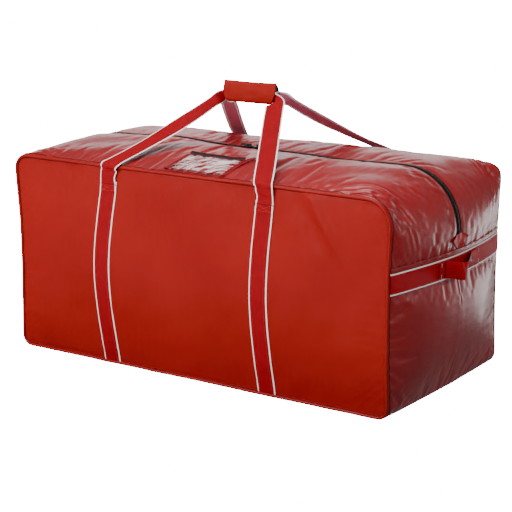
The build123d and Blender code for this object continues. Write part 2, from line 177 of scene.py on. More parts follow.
def corner(flat, radius, reach, count):
    """Offsets along and across a side, from its last even node to mid corner, with normals."""
    straight = reach - radius - flat
    run = (straight + radius * math.pi / 4) * np.arange(1, count + 1) / count
    turn = np.maximum(run - straight, 0) / radius
    along = flat + np.minimum(run, straight) + radius * np.sin(turn)
    return along, radius * (1 - np.cos(turn)), np.sin(turn), np.cos(turn)


def waisted(rows):
    """The outline drawn in at mid height, as a soft bag's side seams are, and flared at its top left."""
    x, z = rows[:, 0], rows[:, 1]
    share = np.clip((z - BASE_Z) / (SEAM_Z - BASE_Z), 0, 1)
    pull = WAIST * np.sin(math.pi * share)
    pull -= FLARE * smooth((share - 0.6) / 0.36) * (x < 0)
    return np.column_stack([x - np.sign(x) * pull * (np.abs(x) / HALF_L) ** 8, rows[:, 1:]])


def rounded_outline(inset, left_r, right_r):
    """The four sides of the rounded outline, as rows of x, z, nx, nz: low, right, top, left."""
    half, low, high = HALF_L - inset, BASE_Z + inset, SEAM_Z - inset

    def top_corner(radius):
        a, drop, na, nd = corner(TOP_FLAT, radius, half, TOP_TURN)
        return np.stack([a, high - drop, na, nd], 1)

    def side(radius):
        a, drop, na, nd = corner(SIDE_HIGH, radius, high, SIDE_TURN_HIGH)
        upper = np.stack([half - drop, a, nd, na], 1)
        a, drop, na, nd = corner(-SIDE_LOW, LOW_R - inset, -low, SIDE_TURN_LOW)
        lower = np.stack([half - drop, -a, nd, -na], 1)[::-1]
        flat = np.linspace(SIDE_LOW, SIDE_HIGH, 30)
        level = np.stack([0 * flat + half, flat, 0 * flat + 1, 0 * flat], 1)
        return np.concatenate([lower, level, upper])

    flat = np.linspace(-TOP_FLAT, TOP_FLAT, 79)
    top = np.concatenate([
        (top_corner(left_r) * [-1, 1, -1, 1])[::-1],
        np.stack([flat, 0 * flat + high, 0 * flat, 0 * flat + 1], 1),
        top_corner(right_r),
    ])
    a, drop, na, nd = corner(LOW_FLAT, LOW_R - inset, half, LOW_TURN)
    flat = np.linspace(-LOW_FLAT, LOW_FLAT, 91)
    right_part = np.stack([a, low + drop, na, -nd], 1)
    bottom = np.concatenate([
        (right_part * [-1, 1, -1, 1])[::-1],
        np.stack([flat, 0 * flat + low, 0 * flat, 0 * flat - 1], 1),
        right_part,
    ])
    sides = bottom, side(right_r), top, side(left_r) * [-1, 1, -1, 1]
    return [waisted(rows) for rows in sides]


def seam_outline(y, inset):
    """The outline of the front or rear seam, taken in by inset."""
    left_r, right_r = FRONT_R if y < 0 else REAR_R
    return rounded_outline(inset, left_r - inset, right_r - inset)


def seam_loop(y, inset):
    low, right, top, left = seam_outline(y, inset)
    return np.concatenate([low[:-1], right[:-1], top[::-1][:-1], left[::-1]])


def upright(rows, y):
    """Rows of x and z as points at depth y."""
    return np.stack([rows[:, 0], 0 * rows[:, 0] + y, rows[:, 1]], 1)


def depth_rows():
    """Y of the rows across the bag, denser at the seams, hinge and zip."""
    half = [-SEAM_Y, -SEAM_Y + 0.006, -HINGE_Y]
    half += list(np.linspace(-HINGE_Y, -ZIP_EDGE, 23)[1:])
    half += [-ZIP_EDGE / 2]
    return np.array(half + [0] + [-y for y in half[::-1]])


def swell(outline, y):
    """Crown and end bulge of the outline at depth y."""
    t = abs(y) / SEAM_Y
    x, z, nx, nz = outline.T
    low = 0.3 + 0.7 * smooth((z - BASE_Z) / 0.22)
    out = BULGE * 1.1 * (1 - t**2.0) * low * np.abs(nx)
    up = CROWN * (1 - t**1.7) * np.maximum(nz, 0)
    return np.stack([x + np.sign(x) * out, 0 * x + y, z + up], 1)


def band(side):
    """Grid of one side of the gusset: rows along the outline, columns across the bag."""
    rows = []
    for y in depth_rows():
        t = abs(y) / SEAM_Y
        tuck = 0.002 * smooth(1 - (SEAM_Y - abs(y)) / 0.006)
        radii = [r + (MID_TOP_R - r) * (1 - t**2) for r in (FRONT_R if y < 0 else REAR_R)]
        rows.append(swell(rounded_outline(tuck, *radii)[side], y))
    return np.stack(rows, 1)


def faces_of(n, m, first=0):
    """Quads of an n by m grid, counter-clockwise seen from the side that (row x column) faces."""
    i, j = np.meshgrid(np.arange(n - 1), np.arange(m - 1), indexing="ij")
    a = first + (i * m + j).ravel()
    return np.stack([a, a + m, a + m + 1, a + 1], 1)


def new_mesh(name, points, faces):
    mesh = bpy.data.meshes.new(name)
    mesh.vertices.add(len(points))
    mesh.vertices.foreach_set("co", np.asarray(points, np.float32).ravel())
    faces = np.asarray(faces, np.int32)
    mesh.loops.add(faces.size)
    mesh.loops.foreach_set("vertex_index", faces.ravel())
    mesh.polygons.add(len(faces))
    mesh.polygons.foreach_set("loop_start", np.arange(len(faces), dtype=np.int32) * faces.shape[1])
    mesh.update(calc_edges=True)
    mesh.validate()
    obj = bpy.data.objects.new(name, mesh)
    bpy.context.scene.collection.objects.link(obj)
    return obj


# ---------------------------------------------------------------- grids and cloth

def refine(grid, times):
    """Smoothly finer grid: every cell split into times by times with a curve through the old points."""
    for axis in (0, 1):
        g = np.moveaxis(grid, axis, 0)
        parts = [between(*fours(g), k / times) for k in range(times)]
        fine = np.stack(parts, 1).reshape(-1, *g.shape[1:])
        grid = np.moveaxis(np.concatenate([fine, g[-1:]]), 0, axis)
    return grid


def normals_of(grid):
    n = np.cross(np.gradient(grid, axis=0), np.gradient(grid, axis=1))
    return n / np.maximum(np.linalg.norm(n, axis=2, keepdims=True), 1e-12)


def cloth(grid, pins, oversize, pressure, frames=30, bend=0.5, tension=15):
    """The grid as cloth cut oversize, held at its pins and swollen by pressure."""
    n, m = grid.shape[:2]
    obj = new_mesh("cloth_work", grid.reshape(-1, 3), faces_of(n, m))
    held = obj.vertex_groups.new(name="held")
    held.add([int(k) for k in np.flatnonzero(pins.ravel())], 1.0, "REPLACE")
    modifier = obj.modifiers.new("cloth", "CLOTH")
    settings = modifier.settings
    settings.quality = 5
    settings.mass = 0.3
    settings.tension_stiffness = settings.compression_stiffness = tension
    settings.shear_stiffness = tension / 2
    settings.bending_model = "ANGULAR"
    settings.bending_stiffness = bend
    settings.tension_damping = settings.compression_damping = settings.shear_damping = 10
    settings.bending_damping = 1
    settings.air_damping = 5
    settings.vertex_group_mass = "held"
    settings.shrink_min = -oversize
    settings.use_pressure = True
    settings.uniform_pressure_force = pressure
    settings.effector_weights.gravity = 0
    modifier.collision_settings.use_collision = False
    modifier.collision_settings.use_self_collision = False
    modifier.point_cache.frame_start = 1
    modifier.point_cache.frame_end = frames
    for step in range(1, frames + 1):
        bpy.context.scene.frame_set(step)
    shaped = obj.evaluated_get(bpy.context.evaluated_depsgraph_get()).to_mesh()
    points = np.zeros(n * m * 3, np.float32)
    shaped.vertices.foreach_get("co", points)
    bpy.context.scene.frame_set(1)
    bpy.data.objects.remove(obj)
    return points.reshape(n, m, 3).astype(float)


def ripples(u, v, seed, count=7):
    """Sum of a few fixed waves of mixed direction, between about -1 and 1."""
    rng = np.random.default_rng(seed)
    total = np.zeros(np.broadcast(u, v).shape)
    for _ in range(count):
        angle, phase = rng.uniform(0, math.pi), rng.uniform(0, 2 * math.pi)
        total += np.sin(u * math.cos(angle) + v * math.sin(angle) + phase)
    return total / math.sqrt(count)


def along_noise(u, scale, seed):
    """Smooth one-dimensional noise along u with features about scale long."""
    rng = np.random.default_rng(seed)
    knots = rng.uniform(-1, 1, 4096)
    x = np.asarray(u) / scale + 2048
    k = np.floor(x).astype(int)
    return lerp(knots[k % 4096], knots[(k + 1) % 4096], smooth(x - k))


# ---------------------------------------------------------------- materials

class Shader:
    """A Principled material with short ways to add the nodes that drive it."""

    def __init__(self, name, color, roughness):
        self.mat = bpy.data.materials.new(name)
        self.mat.use_nodes = True
        self.nodes = self.mat.node_tree.nodes
        self.links = self.mat.node_tree.links
        self.main = self.nodes["Principled BSDF"]
        self.put("Base Color", color)
        self.put("Roughness", roughness)

    def wire(self, socket, value):
        """Sets a socket to a number or a colour, or links another node's output to it."""
        if isinstance(value, bpy.types.NodeSocket):
            self.links.new(value, socket)
        else:
            socket.default_value = (*value, 1) if isinstance(value, tuple) else value

    def put(self, socket, value):
        self.wire(self.main.inputs[socket], value)

    def node(self, kind, inputs, **settings):
        """Outputs of a new node, its inputs given by name or number."""
        node = self.nodes.new(kind)
        for key, value in settings.items():
            setattr(node, key, value)
        for key, value in inputs.items():
            self.wire(node.inputs[key], value)
        return node.outputs

    def coords(self, kind="Object"):
        return self.node("ShaderNodeTexCoord", {})[kind]

    def math(self, operation, a, b=0.0):
        return self.node("ShaderNodeMath", {0: a, 1: b}, operation=operation)[0]

    def split(self, vector):
        return self.node("ShaderNodeSeparateXYZ", {0: vector})

    def noise(self, vector, scale, detail=3.0, rough=0.5):
        inputs = {"Vector": vector, "Scale": scale, "Detail": detail, "Roughness": rough}
        return self.node("ShaderNodeTexNoise", inputs)["Fac"]

    def slanted(self, stretch):
        """UV coordinates leaning over and stretched, for streaks."""
        uv = self.split(self.coords("UV"))
        u, v = (self.math("MULTIPLY", uv[k], stretch) for k in (0, 1))
        return self.node("ShaderNodeCombineXYZ", {0: self.math("SUBTRACT", u, v), 1: uv[1]})[0]

    def spread(self, value, low, high, to_low=0.0, to_high=1.0):
        inputs = {"Value": value, "From Min": low, "From Max": high, "To Min": to_low, "To Max": to_high}
        return self.node("ShaderNodeMapRange", inputs)["Result"]

    def mix(self, factor, a, b):
        return self.node("ShaderNodeMix", {0: factor, 6: a, 7: b}, data_type="RGBA")[2]

    def wave(self, value, period):
        """0 to 1 wave of a length in metres, for ribs and picks."""
        turned = self.math("MULTIPLY", value, 2 * math.pi / period)
        return self.math("MULTIPLY_ADD", self.math("SINE", turned), 0.5)

    def bump(self, height, distance, strength=1.0, under=None):
        inputs = {"Height": height, "Distance": distance, "Strength": strength}
        if under is not None:
            inputs["Normal"] = under
        return self.node("ShaderNodeBump", inputs)["Normal"]


def coated_fabric(name, color, dark, roughness, coat=0.0, scrim=0.00005, shine=0.15):
    """Vinyl-coated cloth: the scrim shows faintly through a satin coat, with scuffs and soft wrinkles."""
    s = Shader(name, color, roughness)
    place = s.coords("Object")
    broad = s.noise(place, 5.0, 3.0)
    mottle = s.noise(place, 38.0, 4.0)
    s.put("Base Color", s.mix(s.spread(broad, 0.35, 0.7), color, dark))
    uv = s.split(s.coords("UV"))
    threads = s.math("ADD", s.wave(uv[0], 0.0011), s.wave(uv[1], 0.0011))
    grain = s.noise(place, 900.0, 2.0)
    rough = s.math("ADD", s.spread(mottle, 0.3, 0.7, roughness - 0.05, roughness + 0.06),
                   s.math("MULTIPLY", grain, 0.05))
    s.put("Roughness", rough)
    creased = s.bump(mottle, 0.0007, 0.45)
    woven = s.bump(threads, scrim, 0.6, creased)
    s.put("Normal", s.bump(grain, 0.00005, 0.35, woven))
    s.put("Coat Weight", coat)
    s.put("Coat Roughness", 0.16)
    s.put("Specular IOR Level", shine)
    return s.mat


def webbing(name, color, dark, edge, edge_from):
    """Ribbed woven webbing with edges of another colour beyond edge_from either side of its middle."""
    s = Shader(name, color, 0.55)
    uv = s.split(s.coords("UV"))
    across = s.math("ABSOLUTE", uv[1])
    place = s.coords("Object")
    fray = s.math("MULTIPLY", s.noise(place, 700.0, 2.0), 0.0009)
    is_edge = s.spread(s.math("ADD", across, fray), edge_from, edge_from + 0.0006)
    body = s.mix(s.noise(place, 60.0, 3.0), color, dark)
    ribs = s.wave(uv[0], 0.0019)
    cords = s.wave(uv[1], 0.0021)
    # Painted shade: the colour darkens along the rib wave, on the body and on the edges, standing in for
    # shade between the ribs.
    ribbed = s.mix(s.math("MULTIPLY", ribs, 0.28), body, dark)
    rib_shaded_edge = s.mix(s.math("MULTIPLY", ribs, 0.2), edge, tuple(c * 0.8 for c in edge))
    s.put("Base Color", s.mix(is_edge, ribbed, rib_shaded_edge))
    weave = s.math("MULTIPLY", s.math("ADD", ribs, 0.2), s.math("ADD", cords, 0.35))
    ground = s.bump(s.noise(place, 260.0, 3.0), 0.0003, 0.5)
    s.put("Normal", s.bump(weave, 0.0003, 0.8, ground))
    s.put("Roughness", s.spread(weave, 0.0, 1.2, 0.62, 0.42))
    s.put("Specular IOR Level", 0.08)
    return s.mat


def plain_weave(name, color, period, roughness=0.75):
    s = Shader(name, color, roughness)
    uv = s.split(s.coords("UV"))
    place = s.coords("Object")
    fuzz = s.noise(place, 800.0, 3.0)
    threads = s.math("MULTIPLY", s.wave(uv[0], period), s.wave(uv[1], period))
    lighter = tuple(min(1.0, c * 2.2 + 0.004) for c in color)
    s.put("Base Color", s.mix(s.math("MULTIPLY", fuzz, 0.8), color, lighter))
    s.put("Roughness", s.spread(fuzz, 0.3, 0.7, roughness - 0.1, roughness + 0.1))
    s.put("Normal", s.bump(s.math("ADD", threads, fuzz), 0.00025, 0.8))
    s.put("Specular IOR Level", 0.2)
    return s.mat


def enamel(name, color):
    """Black enamel over die-cast metal, worn to the metal in specks."""
    s = Shader(name, color, 0.28)
    place = s.coords("Object")
    wear = s.spread(s.noise(place, 420.0, 4.0), 0.66, 0.72)
    s.put("Base Color", s.mix(wear, color, (0.22, 0.21, 0.2)))
    s.put("Metallic", wear)
    s.put("Roughness", s.spread(s.noise(place, 160.0, 3.0), 0.3, 0.7, 0.3, 0.5))
    s.put("Normal", s.bump(s.noise(place, 300.0, 2.0), 0.0001, 0.3))
    s.put("Specular IOR Level", 0.3)
    return s.mat


def nylon(name, color, roughness=0.4):
    s = Shader(name, color, roughness)
    place = s.coords("Object")
    s.put("Base Color", s.mix(s.noise(place, 240.0, 3.0), color, tuple(c * 1.9 + 0.004 for c in color)))
    s.put("Specular IOR Level", 0.25)
    s.put("Roughness", s.spread(s.noise(place, 500.0, 2.0), 0.3, 0.7, roughness - 0.1, roughness + 0.1))
    s.put("Normal", s.bump(s.noise(place, 1200.0, 2.0), 0.0001, 0.4))
    return s.mat


def clear_vinyl(name):
    """Clear sheet with slanted pale pink streaks of opacity, painted highlights of its crinkles, and
    rougher where they lie.
    """
    s = Shader(name, (0.95, 0.84, 0.85), 0.07)
    place = s.coords("Object")
    painted_highlight_streaks = s.noise(s.slanted(6.0), 26.0, 4.0, 0.6)
    # Painted highlight: pale pink opaque streaks standing in for the reflections off the crinkled vinyl.
    s.put("Alpha", s.spread(painted_highlight_streaks, 0.46, 0.60, 0.0, 0.45))
    s.put("Roughness", s.spread(painted_highlight_streaks, 0.35, 0.75, 0.06, 0.2))
    s.put("Normal", s.bump(s.noise(place, 36.0, 3.0), 0.003, 0.6))
    s.put("Coat Weight", 0.35)
    s.put("Coat Roughness", 0.04)
    return s.mat


SHELL_RED, SHELL_DARK = (0.285, 0.002, 0.0045), (0.21, 0.0015, 0.003)
PANEL_RED, PANEL_DARK = (0.285, 0.005, 0.0035), (0.25, 0.003, 0.0022)
GRIP_RED, GRIP_DARK = (0.29, 0.004, 0.001), (0.24, 0.003, 0.001)
PATCH_RED, PATCH_DARK = (0.38, 0.001, 0.002), (0.30, 0.001, 0.002)
STRIP_RED, STRIP_DARK = (0.19, 0.001, 0.004), (0.14, 0.001, 0.003)
PIPING_RED, PIPING_DARK = (0.28, 0.002, 0.001), (0.23, 0.002, 0.001)
WEB_RED, WEB_DARK = (0.32, 0.0004, 0.0055), (0.23, 0.0003, 0.0045)
# Painted light: the end straps and grab loops get a brighter copy of the body webbing's red, standing in
# for the light the ends, turned from the key lamp, get less of.
END_WEB_PAINTED_LIGHT_RED, END_WEB_PAINTED_LIGHT_DARK = (0.43, 0.0006, 0.008), (0.32, 0.0005, 0.006)
# Painted light: the webbing's underside gets paler, pinker copies of its red and white, standing in for
# the bounce light and sheen it catches.
WEB_UNDER_PAINTED_LIGHT = (0.66, 0.20, 0.30), (0.54, 0.15, 0.23), (0.95, 0.86, 0.92)
# Painted highlight: the grab loop's underside is a pale pink copy of its red, standing in for the sheen on
# the gathered loop.
GRAB_UNDER_PAINTED_HIGHLIGHT = (0.62, 0.46, 0.54), (0.5, 0.36, 0.42), (0.6, 0.5, 0.54)
WHITE, BLACK = (0.97, 0.94, 0.92), (0.005, 0.0045, 0.0045)

MATERIALS = {
    "shell": coated_fabric("shell_fabric", SHELL_RED, SHELL_DARK, 0.34, 0.2, 0.00006, 0.35),
    "panel": coated_fabric("panel_fabric", PANEL_RED, PANEL_DARK, 0.50, scrim=0.00003, shine=0.12),
    "grip": coated_fabric("grip_fabric", GRIP_RED, GRIP_DARK, 0.55, shine=0.12),
    "patch": coated_fabric("patch_fabric", PATCH_RED, PATCH_DARK, 0.45),
    "strip": coated_fabric("window_strip", STRIP_RED, STRIP_DARK, 0.5),
    "piping": coated_fabric("piping_cover", PIPING_RED, PIPING_DARK, 0.42, scrim=0.00004, shine=0.2),
    "web": webbing("webbing", WEB_RED, WEB_DARK, WHITE, WHITE_FROM),
    # Underside of the webbing: painted bounce light and sheen.
    "web_under": webbing("webbing_underside", *WEB_UNDER_PAINTED_LIGHT, 0.0155),
    # End straps: the webbing in a brighter red, painted light.
    "end_web": webbing("end_webbing", END_WEB_PAINTED_LIGHT_RED, END_WEB_PAINTED_LIGHT_DARK, WHITE, WHITE_FROM),
    "grab": webbing("grab_webbing", END_WEB_PAINTED_LIGHT_RED, END_WEB_PAINTED_LIGHT_DARK, END_WEB_PAINTED_LIGHT_RED, 0.05),
    # Underside of the grab loop: painted highlight.
    "grab_under": webbing("grab_underside", *GRAB_UNDER_PAINTED_HIGHLIGHT, 0.05),
    # Painted shadow: a dark cord colour for the grooves beside the piping and for the step across each
    # tack.
    "seam": plain_weave("seam_shadow_cord", (0.05, 0.002, 0.002), 0.0008, 0.9),
    "tape": plain_weave("zip_tape", BLACK, 0.0008),
    "binding": plain_weave("black_binding", BLACK, 0.0010),
    "hook": plain_weave("hook_loop", (0.008, 0.008, 0.008), 0.0016, 0.9),
    "coil": nylon("zip_coil", (0.006, 0.005, 0.005)),
    "metal": enamel("slider_enamel", (0.010, 0.010, 0.011)),
    "thread": nylon("tack_thread", (0.45, 0.012, 0.012), 0.6),
    "white_thread": nylon("white_thread", (0.72, 0.68, 0.66), 0.6),
    "window": clear_vinyl("clear_window"),
}
# fold: the same dark colour, used as painted shadow across each handle tack.
MATERIALS["fold"] = MATERIALS["seam"]


# ---------------------------------------------------------------- meshes

def arc_uv(grid):
    """Metres along rows and columns of a grid, for weave that keeps its size."""
    du = np.linalg.norm(np.diff(grid, axis=0), axis=2).mean(1)
    dv = np.linalg.norm(np.diff(grid, axis=1), axis=2).mean(0)
    u, v = np.append(0, np.cumsum(du)), np.append(0, np.cumsum(dv))
    return np.stack(np.meshgrid(u, v, indexing="ij"), 2)


def dress(obj, uv, normals):
    """UVs and shading normals, one of each per vertex."""
    mesh = obj.data
    corners = np.zeros(len(mesh.loops), np.int32)
    mesh.loops.foreach_get("vertex_index", corners)
    mesh.uv_layers.new(name="UVMap").data.foreach_set("uv", uv[corners].astype(np.float32).ravel())
    mesh.shade_smooth()
    if normals is not None:
        mesh.normals_split_custom_set_from_vertices([tuple(n) for n in normals])
    return obj


def fabric(name, grid, keep=None, thick=SHEET):
    """The kept cells of a grid as a thin sheet with two faces and a rim, shaded like the whole grid."""
    n, m = grid.shape[:2]
    cells = faces_of(n, m)
    if keep is not None:
        cells = cells[keep.ravel()]
    used, cells = np.unique(cells, return_inverse=True)
    cells = cells.reshape(-1, 4)
    edges = np.stack([cells, np.roll(cells, -1, 1)], 2).reshape(-1, 2)
    count = len(used)
    forward = edges[:, 0] * count + edges[:, 1]
    free = edges[~np.isin(forward, edges[:, 1] * count + edges[:, 0])]
    rim = np.stack([free[:, 1], free[:, 0], free[:, 0] + count, free[:, 1] + count], 1)
    normals = normals_of(grid).reshape(-1, 3)[used]
    outer = grid.reshape(-1, 3)[used]
    points = np.concatenate([outer, outer - thick * normals])
    faces = np.concatenate([cells, cells[:, ::-1] + count, rim])
    uv = np.tile(arc_uv(grid).reshape(-1, 2)[used], (2, 1))
    return dress(new_mesh(name, points, faces), uv, np.concatenate([normals, -normals]))


def skin(name, rings, uv, first=0, last=None):
    """A closed tube through the rings from first to last, capped, shaded like the whole tube."""
    n, m = rings.shape[:2]
    last = n - 1 if last is None else last
    wrapped = np.concatenate([rings[:, -1:], rings, rings[:, :1]], 1)
    normals = normals_of(wrapped)[first:last + 1, 1:-1].reshape(-1, 3)
    count = last - first + 1
    i, j = np.meshgrid(np.arange(count - 1), np.arange(m), indexing="ij")
    k = (j + 1) % m
    cells = np.stack([i * m + j, (i + 1) * m + j, (i + 1) * m + k, i * m + k], 2).reshape(-1, 4)
    half = m // 2
    fan = np.arange(half - 1)
    cap = np.stack([fan, fan + 1, m - 2 - fan, m - 1 - fan], 1)
    faces = np.concatenate([cells, cap, cap[:, ::-1] + (count - 1) * m])
    obj = new_mesh(name, rings[first:last + 1].reshape(-1, 3), faces)
    return dress(obj, uv[first:last + 1].reshape(-1, 2), normals)


def tangents(path):
    t = np.gradient(path, axis=0)
    return t / np.linalg.norm(t, axis=1, keepdims=True)


def unit(v):
    v = np.asarray(v, float)
    return v / np.linalg.norm(v, axis=-1, keepdims=True)


def lengths(path):
    return np.append(0, np.cumsum(np.linalg.norm(np.diff(path, axis=0), axis=1)))


def strap_rings(path, across, width, thick, cup=0.0006):
    """Rings and UVs of a flat strap: its outer face first, then its underside back again."""
    t = tangents(path)
    across = unit(across - (across * t).sum(1, keepdims=True) * t)
    up = np.cross(t, across)
    s = np.linspace(-1, 1, STRAP_NODES)
    edge = np.sqrt(np.maximum(1 - np.abs(s) ** 8, 0.09))
    v = np.broadcast_to(np.asarray(width, float), (len(path),))[:, None] * s / 2
    sides, both = [], []
    full = np.max(v) * s
    for sign, order in ((1, slice(None)), (-1, slice(None, None, -1))):
        rise = (sign * thick / 2 * edge - cup * s**2)[order]
        flat = v[:, order]
        both.append(np.repeat(full[order][None], len(path), 0))
        sides.append(path[:, None] + across[:, None] * flat[..., None]
                     + up[:, None] * rise[None, :, None])
    u = np.repeat(lengths(path)[:, None], 2 * STRAP_NODES, 1)
    return np.concatenate(sides, 1), np.stack([u, np.concatenate(both, 1)], 2)


def round_rings(path, radius, count=10):
    """Rings and UVs of a round cord along a path."""
    t = tangents(path)
    side = unit(np.cross(t, np.where(np.abs(t[:, 1:2]) > 0.9, [[1.0, 0, 0]], [[0, 1.0, 0]])))
    up = np.cross(t, side)
    a = -np.arange(count) * 2 * math.pi / count
    radius = np.broadcast_to(np.asarray(radius, float), (len(path),))[:, None, None]
    turned = side[:, None] * np.cos(a)[:, None] + up[:, None] * np.sin(a)[:, None]
    rings = path[:, None] + radius * turned
    u = np.repeat(lengths(path)[:, None], count, 1)
    v = np.repeat((-a * radius.mean())[None], len(path), 0)
    return rings, np.stack([u, v], 2)


def sampled(at, run, path):
    """Points of a path at given lengths along it."""
    return np.stack([np.interp(at, run, path[:, k]) for k in range(3)], 1)


def even(path, count):
    run = lengths(path)
    return sampled(np.linspace(0, run[-1], count), run, path)


def curve_through(points, count):
    """Evenly spaced points on a smooth curve through a few points."""
    p = np.asarray(points, float)
    t = np.linspace(0, 1, 40, endpoint=False)[:, None]
    parts = [between(*four, t) for four in zip(*fours(p))]
    return even(np.concatenate(parts + [p[-1:]]), count)


def mark_underside(mesh):
    """Gives the underside faces of a strap its second material; the caps keep the first."""
    ring = 2 * STRAP_NODES
    cells = (len(mesh.vertices) // ring - 1) * ring
    mark = np.zeros(len(mesh.polygons), np.int32)
    mark[:cells] = np.arange(cells) % ring >= STRAP_NODES
    mesh.polygons.foreach_set("material_index", mark)


def add(obj, look, body, *nodes, under=None):
    """A piece's look and, for a strap, its underside's look; the body that it rides, or for a tuple of
    bodies its shape only baked in place; the nodes it replaces.
    """
    obj.data.materials.append(MATERIALS[look])
    if under:
        obj.data.materials.append(MATERIALS[under])
        mark_underside(obj.data)
    if isinstance(body, tuple):
        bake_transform(obj)
    else:
        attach(obj, body)
    if nodes:
        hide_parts(*nodes)
    return obj


def strap(name, path, across, width, thick, cup=0.0006):
    return skin(name, *strap_rings(path, across, width, thick, cup))


def cord(name, path, radius, count):
    return skin(name, *round_rings(path, radius, count))


def tokens(name, places, along, up, length, width, height):
    """Many small rounded bars in one mesh: stitches, or the teeth of a zip."""
    along, up = unit(along), unit(up)
    side = np.cross(up, along)
    ring = np.array([(-1, 0), (-0.6, 0.85), (0.6, 0.85), (1, 0), (0.6, -0.85), (-0.6, -0.85)])
    stations = np.array([(-1, 0.35), (-0.75, 1), (0.75, 1), (1, 0.35)])
    grid = []
    for s, size in stations:
        for a, b in ring:
            grid.append(along * (s * length / 2) + side * (a * size * width / 2)
                        + up * (b * size * height / 2))
    points = np.stack(grid, 1) + places[:, None]
    faces = []
    for i in range(3):
        for j in range(6):
            k = (j + 1) % 6
            faces.append((i * 6 + j, i * 6 + k, i * 6 + 6 + k, i * 6 + 6 + j))
    for base in (0, 18):
        turn = 1 if base else -1
        faces.append((base, base + 1, base + 2, base + 3)[::turn])
        faces.append((base, base + 3, base + 4, base + 5)[::turn])
    faces = np.array(faces)[None] + 24 * np.arange(len(places))[:, None, None]
    obj = new_mesh(name, points.reshape(-1, 3), faces.reshape(-1, 4))
    return dress(obj, points.reshape(-1, 3)[:, :2], None)


def stitch(name, path, up, body, look="thread", pitch=0.0046, length=0.0034):
    """A row of stitches along a path, whose up is away from the cloth."""
    count = max(2, int(lengths(path)[-1] / pitch))
    at = (np.arange(count) + 0.5) / count * (len(path) - 1)
    low = np.floor(at).astype(int)
    middles = lerp(path[low], path[low + 1], (at - low)[:, None])
    up = np.broadcast_to(up, path.shape)[low]
    obj = tokens(name, middles, tangents(path)[low], up, length, 0.0006, 0.0005)
    return add(obj, look, body)


def edge_stitches(name, path, across, out):
    """Rows along both edges of a strap, on its outer face."""
    for part, off in (("a", -EDGE_STITCH), ("b", EDGE_STITCH)):
        stitch(f"{name}_stitches_{part}", path + across * off + out * 0.001, out, "bag")


# ---------------------------------------------------------------- the shell

def patch_grid(sides):
    """Grid spanning four sides, rows along the low side and columns along the left one."""
    low, right, top, left = sides
    s = lengths((low + top) / 2)[:, None, None]
    t = lengths((left + right) / 2)[None, :, None]
    s, t = s / s.max(), t / t.max()
    ruled = (1 - t) * low[:, None] + t * top[:, None] + (1 - s) * left[None] + s * right[None]
    ends = (1 - s) * ((1 - t) * low[0] + t * top[0]) + s * ((1 - t) * low[-1] + t * top[-1])
    return ruled - ends


def panel_grid(y):
    """Front or rear panel at depth y, a little full like cloth on a stuffed bag, with its creases."""
    flat = patch_grid([upright(outline, y) for outline in seam_outline(y, PANEL_INSET)])
    pins = np.ones(flat.shape[:2], bool)
    pins[1:-1, 1:-1] = False
    cut = flat if y < 0 else flat[::-1]
    shaped = refine(cloth(cut, pins, PANEL_OVERSIZE, PANEL_PRESSURE, 24, 1.0), 3)
    x = shaped[..., 0] if y < 0 else -shaped[..., 0]
    return raised(shaped, front_creases(x, shaped[..., 2]))


def front_creases(x, z):
    """Height of the front panel's creases: a diagonal pair near the top right, puckers by the seams."""
    along = (x - 0.335) * 0.83 + (z - 0.40) * 0.56
    across = (x - 0.335) * 0.56 - (z - 0.40) * 0.83
    span = np.exp(-(across / 0.085) ** 2)
    pair = np.exp(-((along - 0.012) / 0.012) ** 2) - 0.8 * np.exp(-((along + 0.018) / 0.016) ** 2)
    high = 0.0046 * span * pair
    edge_x = HALF_L - np.abs(x)
    tugs = np.exp(-edge_x / 0.035) * along_noise(z, 0.018, 5) * 0.0011
    tugs += np.exp(-(SEAM_Z - z) / 0.028) * along_noise(x, 0.022, 6) * 0.0009
    tugs += np.exp(-(z - BASE_Z) / 0.04) * along_noise(x, 0.030, 7) * 0.0011
    broad = 0.0011 * ripples(x * 22, z * 26, 8) + 0.00035 * ripples(x * 80, z * 95, 9)
    inner = smooth(edge_x / 0.02) * smooth((SEAM_Z - z) / 0.02) * smooth((z - BASE_Z) / 0.02)
    return (high + tugs + broad) * inner


def hood_grid():
    """The gusset from one end's foot over the top to the other's, as cloth blown full."""
    left, top, right = band(3), band(2), band(1)
    grid = np.concatenate([left[:-1], top, right[::-1][1:]])
    n, m = grid.shape[:2]
    mid = m // 2
    pins = np.zeros((n, m), bool)
    pins[:, 0] = pins[:, -1] = pins[0] = pins[-1] = True
    row = np.arange(n)
    on_end = (row < len(left) - 1) | (row > n - len(left))
    zipped = ~on_end | (grid[:, mid, 2] > ZIP_FOOT_Z - 0.01)
    pins[zipped, mid - 2:mid + 3] = True
    in_strap = np.abs(grid[:, mid, 2] - STRAP_MID) < WEB_W / 2 + 0.006
    pins[on_end & in_strap] = True
    shaped = refine(cloth(grid, pins, HOOD_OVERSIZE, HOOD_PRESSURE, 30, 0.6), 3)
    x, ridge = shaped[..., 0], np.exp(-((shaped[..., 1] + 0.008) / 0.055) ** 2)
    shaped[..., 2] += ridge * (0.0075 * np.exp(-((x + 0.22) / 0.095) ** 2)
                               - 0.0040 * np.exp(-((x - 0.24) / 0.085) ** 2))
    return shaped


